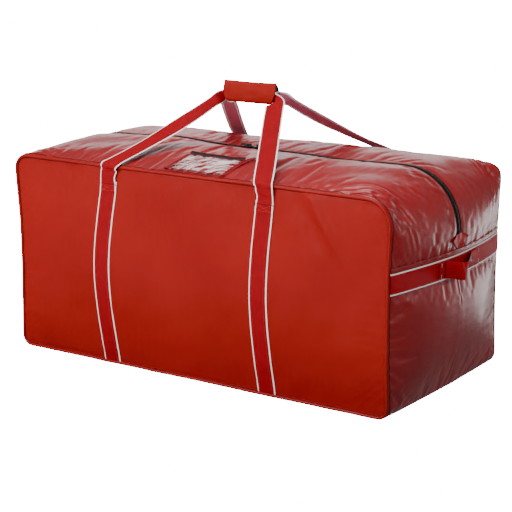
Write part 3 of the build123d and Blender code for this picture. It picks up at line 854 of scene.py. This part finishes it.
def hood_folds(grid):
    """Heights added to the hood: gathers by end seams and straps, drag folds at the top corners."""
    x, y, z = grid[..., 0], grid[..., 1], grid[..., 2]
    run = arc_uv(grid)[..., 0]
    half = run.max() / 2
    from_seam = SEAM_Y - np.abs(y)
    side = np.sign(x)
    end = smooth((np.abs(x) - HALF_L + 0.03) / 0.02)
    gather = along_noise(y + 0.3 * side, 0.0085, 11) + 0.5 * along_noise(y, 0.0045, 12)
    near_seam = np.exp(-np.abs(z - END_SEAM_Z) / 0.012)
    high = -0.0026 * end * (near_seam * (0.6 + gather))
    under = np.exp(-np.maximum(STRAP_LOW - z, 0) / 0.03) * (z < STRAP_LOW)
    high += 0.0009 * end * under * along_noise(y, 0.018, 13)
    tall = np.exp(-np.abs(y - 0.03) / 0.11) * smooth((z - END_SEAM_Z) / 0.02) * end
    high += 0.0006 * tall * along_noise(y + 0.06 * (z - END_SEAM_Z), 0.013, 14)
    corner_at = np.abs(run - half) - 0.49
    reach = np.exp(-((corner_at + 0.02) / 0.11) ** 2)
    lean = from_seam - 0.34 * corner_at
    size = np.where(side > 0, 1.0, 0.55)
    belt = np.exp(-((from_seam - 0.036 - 0.28 * corner_at) / 0.028) ** 2)
    for depth, weight, seed in ((-1, 1.0, 15), (1, 0.7, 16)):
        here = (np.sign(y) == depth) * weight
        fold = np.sin(2 * math.pi * lean / 0.019 + 1.2 * along_noise(corner_at, 0.06, seed))
        high += 0.0021 * here * reach * belt * fold * size
    long = along_noise(x + 1.6 * np.abs(y), 0.12, 17) * smooth(from_seam / 0.05)
    top = smooth((z - SEAM_Z) / 0.01)
    high += 0.0022 * top * long * smooth((np.abs(y) - 0.012) / 0.05)
    high += (0.0011 - 0.0006 * end) * ripples(run * 26, y * 34, 18) * smooth(from_seam / 0.04)
    from_strap = np.maximum(np.maximum(STRAP_LOW - z, z - STRAP_TOP), 0)
    high *= 1 - end * (1 - smooth((from_strap - 0.003) / 0.009))
    fade = smooth(from_seam / 0.008) * smooth((np.abs(y) - 0.006) / 0.02)
    return high * fade


def raised(grid, high):
    return grid + normals_of(grid) * high[..., None]


# ---------------------------------------------------------------- what rests on the shell

def tree_of(*grids):
    points, cells, first = [], [], 0
    for grid in grids:
        n, m = grid.shape[:2]
        points.append(grid.reshape(-1, 3))
        cells.append(faces_of(n, m, first))
        first += n * m
    return BVHTree.FromPolygons(np.concatenate(points).tolist(), np.concatenate(cells).tolist())


def drape(tree, points, outward, gap):
    """Each point moved onto the surface below it, gap above it along outward."""
    shape = np.shape(points)
    flat = np.reshape(points, (-1, 3))
    out = unit(np.broadcast_to(outward, shape).reshape(-1, 3))
    laid = []
    for p, d in zip(flat, out):
        start = Vector(p + d * 0.06)
        hit = tree.ray_cast(start, Vector(-d), 0.2)[0]
        laid.append(np.array(hit) if hit else p)
    return (np.array(laid) + out * gap).reshape(shape)


def soften(path, passes=2):
    for _ in range(passes):
        path[1:-1] = (path[:-2] + 2 * path[1:-1] + path[2:]) / 4
    return path


class Shell:
    """The bag's cloth grids, the rows where it is divided, and the surface that other pieces rest on."""

    def __init__(self):
        hood = hood_grid()
        self.hood = raised(hood, hood_folds(hood))
        self.front = panel_grid(PANEL_BACK - SEAM_Y)
        self.rear = panel_grid(SEAM_Y - PANEL_BACK)
        self.floor = refine(band(0)[::-1], 2)
        self.cords = [self.piping_path(y) for y in (-SEAM_Y, SEAM_Y)]
        rings = [round_rings(path, BEAD_R, 12)[0] for path in self.cords]
        self.tree = tree_of(self.hood, self.front, self.rear, self.floor, *rings)
        mid = self.hood.shape[1] // 2
        self.spine = self.hood[:, mid]
        self.spine_up = unit(normals_of(self.hood)[:, mid] * [1, 0, 1])
        half = len(self.spine) // 2
        left, right = self.spine[:half], self.spine[half:]
        start = int(np.argmax(left[:, 2] > SEAM_Z))

        def nearest(part, axis, value, first):
            return first + int(np.argmin(np.abs(part[:, axis] - value)))

        def at_height(z):
            return nearest(left, 2, z, 0), nearest(right, 2, z, half)

        def at_reach(x):
            on_top = right[right[:, 2] > SEAM_Z]
            return nearest(left[start:], 0, -x, start), nearest(on_top, 0, x, half)

        self.seam_rows, self.zip_rows = at_height(END_SEAM_Z), at_height(ZIP_FOOT_Z)
        self.open_rows, (soft0, soft1) = at_reach(OPEN_X), at_reach(SOFT_X)
        self.spans = (
            ("left_end", self.zip_rows[0], self.open_rows[0], None),
            ("left", self.open_rows[0], soft0, -1),
            ("middle", soft0, soft1, 0),
            ("right", soft1, self.open_rows[1], 1),
            ("right_end", self.open_rows[1], self.zip_rows[1], None),
        )

    def piping_path(self, y):
        loop = seam_loop(y, BEAD_R)
        waver = 0.0005 * along_noise(lengths(loop[:, :2]), 0.05, 21)
        return even(upright(loop[:, :2] + loop[:, 2:] * waver[:, None], y), 900)

    def across_at(self, y, lift=0.0):
        """The hood's line at depth y, lifted along its normal."""
        line = [[np.interp(y, row[:, 1], row[:, axis]) for axis in range(3)] for row in self.hood]
        return np.array(line) + self.spine_up * lift


    def on_top(self, x, y, gap):
        points = np.stack(np.broadcast_arrays(x, y, SEAM_Z + 0.02), -1).astype(float)
        return drape(self.tree, points, (0, 0, 1), gap)


def rows_mask(grid, first, last):
    keep = np.zeros((grid.shape[0] - 1, grid.shape[1] - 1), bool)
    keep[first:last] = True
    return keep


def flap_body(name, side):
    """Middle parts ride the flap; those towards an end get a tuple of the bag, the flap and two points,
    and parts on the ends ride the bag.
    """
    if side is None:
        return "bag"
    if side == 0:
        return f"{name}_flap"
    return "bag", f"{name}_flap", (side * OPEN_X, 0, SEAM_Z), (side * SOFT_X, 0, SEAM_Z)


def build_shell(shell):
    hood = shell.hood
    y = (hood[:, :-1, 1] + hood[:, 1:, 1])[:-1] / 2
    seam0, seam1 = shell.seam_rows
    for side, rows in (("left", (0, seam0)), ("right", (seam1, len(hood)))):
        obj = fabric(f"{side}_end_cloth", hood, rows_mask(hood, *rows))
        add(obj, "shell", "bag", f"{side}_end_panel")
    divided = shell.seam_rows, shell.open_rows, shell.zip_rows
    upper, lid, slot = (rows_mask(hood, *rows) for rows in divided)
    left, middle, right = shell.spans[1:4]
    for name, sign in SIDES:
        depth = y * sign
        hinged = lid & (depth < HINGE_Y)
        facing = upper & (depth > np.where(slot, ZIP_EDGE, 0))
        add(fabric(f"{name}_band_cloth", hood, facing & ~hinged), "shell", "bag", f"top_{name}_band")
        for part, first, last, side in (middle, left, right):
            keep = rows_mask(hood, first, last) & hinged & facing
            obj = fabric(f"{name}_flap_cloth_{part}", hood, keep)
            add(obj, "shell", flap_body(name, side), f"top_{name}_flap")
    add(fabric("front_panel_cloth", shell.front), "panel", "bag", "front_panel")
    add(fabric("rear_panel_cloth", shell.rear), "panel", "bag", "rear_panel")
    add(fabric("bottom_cloth", shell.floor), "shell", "bag", "bottom_panel")


def build_seams(shell):
    """Piping, the dark cords either side of it painted as the shadow in the seam's grooves, the binding
    inside and the panel's stitches.
    """
    for (name, edge), path in zip(SIDES, shell.cords):
        out = (0, edge, 0)

        def loop(inset, back, count):
            return even(upright(seam_loop(edge, inset), edge * (SEAM_Y - back)), count)

        add(cord(f"{name}_piping_cover", path, BEAD_R * 0.95, 14), "piping", "bag", f"{name}_piping")
        outer = even(shell.across_at(edge * (SEAM_Y - SHADOW_OUT)), 900)
        inner = loop(SHADOW_INSET, SHADOW_BACK, 700)
        # Painted shadow: thin dark cords laid in the grooves either side of the piping, where the seam is
        # in shade.
        for part, line in (("inner", inner), ("outer", outer)):
            add(cord(f"{name}_{part}_seam_shade_line", line, SHADOW_R, 6), "seam", "bag")
        line = loop(BINDING_INSET, BINDING_BACK, 500)
        inward = np.cross(tangents(line), [0, 1.0, 0])
        obj = strap(f"{name}_seam_tape", line, inward, BINDING_W, BINDING_THICK, 0.0)
        add(obj, "binding", "bag", f"{name}_seam_binding")
        line = drape(shell.tree, loop(STITCH_INSET, 0.0, 1200), out, 0.0001)
        stitch(f"{name}_panel_stitches", line, out, "bag")


def build_zip(shell):
    """Tapes, teeth and stitches, each in five parts: fixed at the ends, moving in the middle."""
    run = lengths(shell.spine)
    foot0, foot1 = (run[row] for row in shell.zip_rows)
    for name, sign in SIDES:
        lines = [shell.across_at(sign * y, rise - 0.0012) for y, rise in TAPE_LINES]
        grid = np.stack(lines[::sign], 1)
        for part, first, last, side in shell.spans:
            obj = fabric(f"{name}_tape_{part}", grid, rows_mask(grid, first, last), 0.0007)
            node = f"{part}_tape" if side is None else f"{name}_tape"
            add(obj, "tape", flap_body(name, side), node)
        stagger = 0.0 if sign < 0 else 0.5
        stops = np.arange(foot0 + 0.002, foot1 - 0.002, TOOTH) + stagger * TOOTH
        up = sampled(stops, run, shell.spine_up)
        middle = sampled(stops, run, shell.spine) + unit(up) * 0.0002 + [0, sign * 0.0019, 0]
        for part, first, last, side in shell.spans:
            here = (stops >= run[first]) & (stops < run[last])
            obj = tokens(f"{name}_teeth_{part}", middle[here], (0, 1.0, 0), up[here], *TOOTH_SIZE)
            node = f"{part}_coil" if side is None else f"{name}_coil"
            add(obj, "coil", flap_body(name, side), node)
        line = shell.across_at(sign * (ZIP_EDGE + 0.004), 0.0001)
        for part, first, last, side in shell.spans:
            rows = slice(first, last + 1)
            label, body = f"{name}_zip_stitches_{part}", flap_body(name, side)
            stitch(label, line[rows], shell.spine_up[rows], body)
    for node in ("left_slider", "right_slider", "left_pull", "right_pull"):
        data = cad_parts[node].data
        data.materials.clear()
        data.materials.append(MATERIALS["metal"])


def build_zip_patches(shell):
    for name, sign in ENDS:
        t = np.linspace(0, 1, 14)[None]
        s = np.linspace(-1, 1, 17)[:, None] * -sign
        y = s * (0.008 + 0.030 * t)
        z = END_SEAM_Z + 0.003 + (0.033 - 0.012 * np.abs(s) ** 2) * t
        points = np.stack([0 * y + sign * (HALF_L + BULGE), y, z], 2)
        grid = drape(shell.tree, points[::-1], (sign, 0, 0), PATCH_GAP)
        grid[..., 0] += sign * 0.0012 * ripples(y[::-1] * 420, 0 * y + t * 3, 61, 3)
        add(fabric(f"{name}_zip_patch_cloth", grid), "patch", "bag", f"{name}_zip_patch")


def build_window(shell):
    """The clear window on the front flap, its red frame and the black binding of its mouth."""
    s, t = np.meshgrid(np.linspace(0, 1, 90), np.linspace(0, 1, 60), indexing="ij")
    near, far = np.array(WINDOW_NEAR), np.array(WINDOW_FAR)
    plan = lerp(lerp(*near, s[..., None]), lerp(*far, s[..., None]), t[..., None])
    flat = shell.on_top(plan[..., 0], plan[..., 1], WINDOW_GAP)
    inside = smooth(np.minimum(s, 1 - s) / 0.08) * smooth(np.minimum(t, 1 - t + 0.03) / 0.1)
    slant = s - 0.55 * t
    folds = np.abs(ripples(slant * 30, t * 4, 31)) + 0.5 * np.abs(ripples(slant * 62, t * 7, 32))
    grid = flat + np.array([0, 0, 1.0]) * (0.0030 * inside * folds)[..., None]
    add(fabric("window_sheet", grid, thick=0.0003), "window", "front_flap", "id_window")
    strips = (
        ("left", near[0], far[0], 0.013, (-1, 0, 0)),
        ("right", near[1], far[1] + [0.013, 0.031], 0.013, (-1, 0, 0)),
        ("near", near[0] + [-0.006, 0.004], near[1] + [0.006, 0.004], 0.009, (0, 1, 0)),
        ("mouth", far[0] + [-0.003, 0.009], far[1] + [0.001, 0.007], 0.009, (0, 0.75, 0.66)),
    )
    for name, a, b, width, across in strips:
        look, node, gap, passes = "strip", "id_frame", STRIP_GAP, 3
        if name == "mouth":
            look, node, gap, passes = "binding", "id_binding", MOUTH_GAP, 40
        x, y = (a + (b - a) * np.linspace(0, 1, 60)[:, None]).T
        path = soften(shell.on_top(x, y, gap), passes)
        obj = strap(f"window_{name}_edge", path, across, width, 0.0014, 0.0002)
        add(obj, look, "front_flap", node)
        for part, off in (("a", -0.4), ("b", 0.4)):
            line = path + np.array(across) * width * off + [0, 0, 0.0008]
            stitch(f"window_{name}_stitches_{part}", line, (0, 0, 1), "front_flap")


# ---------------------------------------------------------------- straps and handles

def strap_x(side, z):
    """Middle of a body strap at height z: sewn a little bowed."""
    base, bow, foot = STRAP_BOW[side]
    share = np.clip(z / TACK_Z, 0, 1)
    return base - bow * np.sin(math.pi * share) + foot * (1 - share)


def body_strap_path(shell, side):
    """Down the front, round under the bag and up the rear."""
    down = np.linspace(TACK_Z + 0.012, 0.030, 70)
    turn = np.linspace(0, math.pi / 2, 12)[1:-1]
    under = np.linspace(-SEAM_Y + 0.020, SEAM_Y - 0.020, 60)
    cos, sin = np.cos(turn), np.sin(turn)
    half = np.concatenate([
        np.stack([0 * down - SEAM_Y, down, 0 * down - 1, 0 * down], 1),
        np.stack([-SEAM_Y + 0.020 - 0.02 * cos, 0.030 - 0.03 * sin, -cos, -sin], 1),
    ])
    base = np.stack([under, 0 * under, 0 * under, 0 * under - 1], 1)
    y, z, out_y, out_z = np.concatenate([half, base, half[::-1] * [-1, 1, -1, 1]]).T
    out = np.stack([0 * y, out_y, out_z], 1)
    path = drape(shell.tree, np.stack([strap_x(side, z), y, z], 1), out, STRAP_GAP)
    return even(soften(path, 4), 420)


def build_body_straps(shell):
    for side, (name, _) in enumerate(ENDS):
        path = body_strap_path(shell, side)
        across = np.array([1.0, 0, 0])
        obj = strap(f"{name}_body_webbing", path, across, WEB_W, WEB_THICK)
        add(obj, "web", "bag", f"{name}_body_strap", under="web_under")
        edge_stitches(f"{name}_body", path, across, unit(np.cross(tangents(path), across)))


def handle_path(shell, front):
    """One strap from the left tack through the grip to the right tack, and its width direction."""
    marks = []
    for side in (0, 1):
        x0 = float(strap_x(side, TACK_Z))
        wall = np.array([[x0, -SEAM_Y, TACK_Z - 0.012], [x0, -SEAM_Y, TACK_Z + 0.014]])
        wall = drape(shell.tree, wall, (0, -1, 0), HANDLE_GAP)
        foot, knee = LEG_KNEE[side]
        leg = [wall[0], wall[1], foot, knee]
        grip = np.array(GRIP_ENTRY[side])
        for share in (0.25, 0.5, 0.75):
            droop = LEG_DROOP[front][side] * math.sin(math.pi * share)
            leg.append(lerp(np.array(knee), grip, share) - [0, 0, droop])
        leg.append(grip)
        marks.append(leg)
    points = marks[0] + [np.array(GRIP_ENTRY[0]) + [0.020, 0.0025, 0.001],
                         np.array(GRIP_ENTRY[1]) + [-0.018, 0.0090, -0.003]] + marks[1][::-1]
    path = curve_through(points, 700)
    run = lengths(path)
    in0 = run[np.argmin(np.linalg.norm(path - GRIP_ENTRY[0], axis=1))]
    in1 = run[np.argmin(np.linalg.norm(path - GRIP_ENTRY[1], axis=1))]
    before, after = in0 - run, run - in1
    slow, quick = (before, after) if front else (after, before)
    twist = np.minimum(1 - 0.6 * smooth(slow / 0.03) - 0.4 * smooth(slow / (0.62 * in0)),
                       1 - smooth(quick / 0.026))
    lift = twist[:, None]
    sideways = np.where(run < (in0 + in1) / 2, -1.0, 1.0)[:, None] * [[1.0, 0, 0]]
    t = tangents(path)
    flat = unit(sideways - (sideways * t).sum(1, keepdims=True) * t)
    tall = unit([0, 0, 1.0] - t[:, 2:] * t)
    across = unit(flat * (1 - lift) + tall * lift)
    narrow = np.minimum(1 - smooth((slow - 0.02) / 0.16), 1 - smooth((quick - 0.003) / 0.02))
    inside = np.minimum(1 - smooth((before + 0.004) / 0.012), 1 - smooth((after + 0.004) / 0.012))
    pinch = np.exp(-((path[:, 2] - TACK_Z - 0.022) / 0.016) ** 2)
    width = WEB_W - 0.017 * narrow - 0.006 * inside - 0.004 * pinch
    path[:, 0] += 0.002 * pinch * sideways[:, 0]
    if not front:
        path, across = path * [1, -1, 1], -across * [1, -1, 1]
    return path, across, width


def build_handles(shell):
    """Each handle in five parts: its feet, its bends at the top seam and its legs with the band."""
    for name, front in (("front", True), ("rear", False)):
        path, across, width = handle_path(shell, front)
        rings, uv = strap_rings(path, across, width, HANDLE_THICK)
        z, last = rings[:, :, 2].min(1), len(path) - 1
        levels = RISER_CUT_Z, LEG_FREE_Z
        low, high = (int(np.argmax(z > level)) for level in levels)
        low_end, high_end = (last - int(np.argmax(z[::-1] > level)) for level in levels)
        risers, handle, y = f"{name}_risers", f"{name}_handle", path[0, 1]
        foot = "bag", risers, (0, y, TACK_Z - 0.006), (0, y, TACK_Z + 0.014)
        bend = risers, handle, (0, y, TACK_Z + 0.030), (0, y, LEG_FREE_Z - 0.004)
        for label, a, b, body, node in (
            ("left_tack", 0, low, foot, f"left_{name}_riser"),
            ("left_bend", low, high, bend, f"left_{name}_riser"),
            ("right_tack", low_end, last, foot, f"right_{name}_riser"),
            ("right_bend", high_end, low_end, bend, f"right_{name}_riser"),
            ("legs", high, high_end, handle, handle),
        ):
            obj = skin(f"{name}_handle_{label}", rings, uv, a, b)
            add(obj, "web", body, node, under="web_under")


def build_tacks(shell):
    """Boxes of stitches where the handles are sewn on, and across each a dark cord, painted shadow of the
    step where the handle strap lies on the body strap.
    """
    corners = np.array([(-TACK_HALF, TACK_LOW), (TACK_HALF, TACK_LOW),
                        (TACK_HALF, TACK_HIGH), (-TACK_HALF, TACK_HIGH)])
    route = corners[[0, 1, 2, 3, 0, 2, 3, 1]]
    for name, edge in SIDES:
        out = (0, edge, 0)
        for side in (0, 1):
            x0 = float(strap_x(side, TACK_Z))
            for k, (a, b) in enumerate(zip(route[:-1], route[1:])):
                flat = lerp(a, b, np.linspace(0, 1, 12)[:, None]) + [x0, TACK_Z]
                line = drape(shell.tree, upright(flat, edge * SEAM_Y), out, TACK_GAP)
                label = f"{name}_tack_{side}_{k}"
                stitch(label, line, out, "bag", pitch=0.0034, length=0.0028)
            # Painted shadow: a dark cord across the strap at the step made by the handle strap's end.
            across = np.array([(x0 - 0.0245, TACK_Z + 0.005), (x0 + 0.0245, TACK_Z + 0.005)])
            across = even(upright(across, edge * SEAM_Y), 40)
            line = soften(drape(shell.tree, across, out, TACK_SHADE_GAP))
            add(cord(f"{name}_tack_{side}_fold", line, 0.0007, 6), "fold", "bag")
    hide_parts("handle_tacks")


def grip_profile(count):
    """Section of the folded grip as y and z: down the rear, round and up the front."""
    middle = GRIP_LOW + GRIP_R
    down = np.linspace(0, 1, count)[:, None]
    rear = lerp(np.array([[0.0012, GRIP_TOP]]), np.array([[GRIP_R, middle + 0.004]]), down)
    rear[:, 0] += 0.0016 * np.sin(math.pi * down[:, 0])
    a = np.linspace(0, math.pi, count)[1:-1]
    turn = np.stack([GRIP_R * np.cos(a), middle - GRIP_R * np.sin(a)], 1)
    return np.concatenate([rear, turn, rear[::-1] * [-1, 1]])


def build_grip():
    """The two halves of the wrap, the hook and loop tapes inside it and its stitches."""
    profile = grip_profile(16)
    s = np.linspace(0, 1, 60)[:, None]
    y, z = profile[:, 0][None], profile[:, 1][None]
    share = (z - GRIP_LOW) / (GRIP_TOP - GRIP_LOW)
    flare = np.interp(share, (0, 0.25, 0.55, 1), (-0.010, -0.003, 0.002, 0.001))
    x = GRIP_X[0] + (GRIP_X[1] - GRIP_X[0]) * s + (2 * s - 1) * flare
    waver = 0.0009 * ripples(s * 9, share * 7 + 2 * np.sign(y), 41)
    waver += 0.0006 * ripples(s * 26, share * 15, 42)
    y = y * (1 + waver * 60)
    z = z - 0.0016 * np.sin(2.6 * s + 0.4) * np.sqrt(np.clip(share, 0, 1)) + 0.0008
    grid = np.stack(np.broadcast_arrays(x, y, z), 2)
    up = normals_of(grid)
    n, m = grid.shape[:2]
    column = np.broadcast_to(np.arange(m - 1), (n - 1, m - 1))
    rear = fabric("grip_rear_cloth", grid, column < m // 2, 0.0014)
    add(rear, "grip", "rear_handle", "grip_wrap")
    front = fabric("grip_front_cloth", grid, column >= m // 2, 0.0014)
    add(front, "grip", "grip_flap", "grip_flap")
    inner = grid - up * 0.0016
    loop, hook = ("rear_handle", "loop", slice(2, 11)), ("grip_flap", "hook", slice(m - 11, m - 2))
    for body, label, columns in (loop, hook):
        tape = inner[:, columns].copy()
        tape[:, :, 0] += np.linspace(0, 0.0035, n)[:, None]
        add(fabric(f"grip_{label}_tape", tape, thick=0.0008), "hook", body, f"grip_{label}_tape")
    for body, label, k in (("rear_handle", "rear", 2), ("grip_flap", "front", m - 3)):
        stitch(f"grip_{label}_stitches", grid[:, k] + up[:, k] * 0.0002, up[:, k], body)


def build_ends(shell):
    """On each end the welt of the gathered seam, the strap with its white edges and the grab loop."""
    for name, sign in ENDS:
        out = np.array([sign, 0, 0])
        y = np.linspace(-SEAM_Y + 0.0015, SEAM_Y - 0.0015, 140)
        strap_z = STRAP_MID + 0.0012 * along_noise(y, 0.09, 51)
        start = np.stack([0 * y + sign * HALF_L, y, strap_z], 1)
        path = soften(drape(shell.tree, start, out, END_STRAP_GAP), 4)
        welt = start * [1, 1, 0] + [0, 0, END_SEAM_Z - 0.001]
        welt = soften(drape(shell.tree, welt, out, WELT_GAP), 3)
        across = np.array([0, 0, 1.0 * sign])
        add(strap(f"{name}_end_welt", welt, across, 0.006, 0.0022), "shell", "bag")
        stitch(f"{name}_welt_stitches", welt + [sign * 0.0012, 0, -0.0045], out, "bag")
        obj = strap(f"{name}_end_webbing", path, across, WEB_W, WEB_THICK)
        add(obj, "end_web", "bag", f"{name}_end_strap", under="web_under")
        edge_stitches(f"{name}_end", path, across, out)
        build_grab(name, sign, path)


def build_grab(name, sign, wall):
    """A grab loop on the strap along wall, its sewn tails and their white stitches."""
    start, end = GRAB_SPAN
    feet = [np.interp(v, wall[:, 1], wall[:, 0] * sign) for v in GRAB_SPAN]
    points = []
    for share, out, drop in GRAB_CURVE:
        x = sign * (lerp(*feet, share) + out)
        points.append((x, lerp(start, end, share), STRAP_MID - drop))
    loop = curve_through(points, 160)
    run = lengths(loop)
    lean = np.interp(run / run[-1], *GRAB_LEAN)
    tall = np.stack([sign * np.sin(lean), 0 * lean, np.cos(lean)], 1)
    obj = strap(f"{name}_grab_webbing", loop, tall * sign, GRAB_W, GRAB_THICK, 0.0022)
    add(obj, "grab", f"{name}_grab", f"{name}_grab_loop", under="grab_under")
    tails = (start - 0.022, start + 0.006), (end - 0.006, end + 0.022)
    for k, (a, b) in enumerate(tails):
        v = np.linspace(a, b, 20)
        x = np.interp(v, wall[:, 1], wall[:, 0])
        tail = np.stack([x + sign * 0.0020, v, 0 * v + STRAP_MID], 1)
        obj = strap(f"{name}_grab_tail_{k}", tail, (0, 0, 1.0 * sign), GRAB_W, TAIL_THICK)
        add(obj, "grab", "bag", f"{name}_grab_tails")
        at = a + 0.009 if k == 0 else b - 0.009
        for j, off in enumerate((-0.012, 0.012)):
            high = np.linspace(off - 0.0045, off + 0.0045, 6)
            x_at = np.interp(at, v, x) + sign * 0.0031
            line = np.stack([0 * high + x_at, 0 * high + at, STRAP_MID + high], 1)
            label = f"{name}_grab_tack_{k}_{j}"
            stitch(label, line, (sign, 0, 0), "bag", "white_thread", 0.0030, 0.0026)


# ---------------------------------------------------------------- studio

def glowing(name, roughness, glow):
    """Near-white paper that also gives light."""
    color = (0.9, 0.9, 0.9)
    s = Shader(name, color, roughness)
    s.put("Emission Color", color)
    s.put("Emission Strength", glow)
    return s.mat


def build_stage():
    x = np.linspace(-30, 30, 3)
    floor = np.stack([*np.meshgrid(x, x, indexing="ij"), np.zeros((3, 3))], 2)
    obj = new_mesh("floor", floor.reshape(-1, 3) - [0, 0, 0.0002], faces_of(3, 3))
    obj.data.materials.append(glowing("floor_paper", 0.8, FLOOR_GLOW))
    obj.visible_diffuse = obj.visible_glossy = False
    for name, corners, glow, shines in CARDS:
        card = np.array([(x, y, 0.0004) for x, y in corners])
        obj = new_mesh(name, card, [(0, 1, 2, 3)])
        obj.data.materials.append(glowing(name, 0.9, glow))
        obj.visible_camera = obj.visible_shadow = False
        obj.visible_glossy, obj.visible_diffuse = shines, not shines
    world = bpy.data.worlds.new("studio")
    world.use_nodes = True
    world.node_tree.nodes["Background"].inputs[0].default_value = (1, 1, 1, 1)
    world.node_tree.nodes["Background"].inputs[1].default_value = AMBIENT
    bpy.context.scene.world = world
    for name, at, size, power in LAMPS:
        light = bpy.data.lights.new(name, "AREA")
        light.shape = "RECTANGLE"
        light.size, light.size_y = size
        light.energy = power
        lamp = bpy.data.objects.new(name, light)
        lamp.location = at
        lamp.rotation_euler = (Vector((0, 0, 0.25)) - Vector(at)).to_track_quat("-Z", "Y").to_euler()
        bpy.context.scene.collection.objects.link(lamp)


def build_camera():
    data = bpy.data.cameras.new("photo_view")
    data.lens, data.sensor_width = LENS, SENSOR
    camera = bpy.data.objects.new("photo_view", data)
    level = math.cos(PITCH)
    away = Vector((math.sin(YAW) * level, -math.cos(YAW) * level, math.sin(PITCH)))
    camera.location = Vector(TARGET) + DISTANCE * away
    camera.rotation_euler = (-away).to_track_quat("-Z", "Y").to_euler()
    bpy.context.scene.collection.objects.link(camera)
    bpy.context.scene.camera = camera


shell = Shell()
build_shell(shell)
build_seams(shell)
build_zip(shell)
build_zip_patches(shell)
build_window(shell)
build_body_straps(shell)
build_handles(shell)
build_tacks(shell)
build_grip()
build_ends(shell)
build_stage()
build_camera()
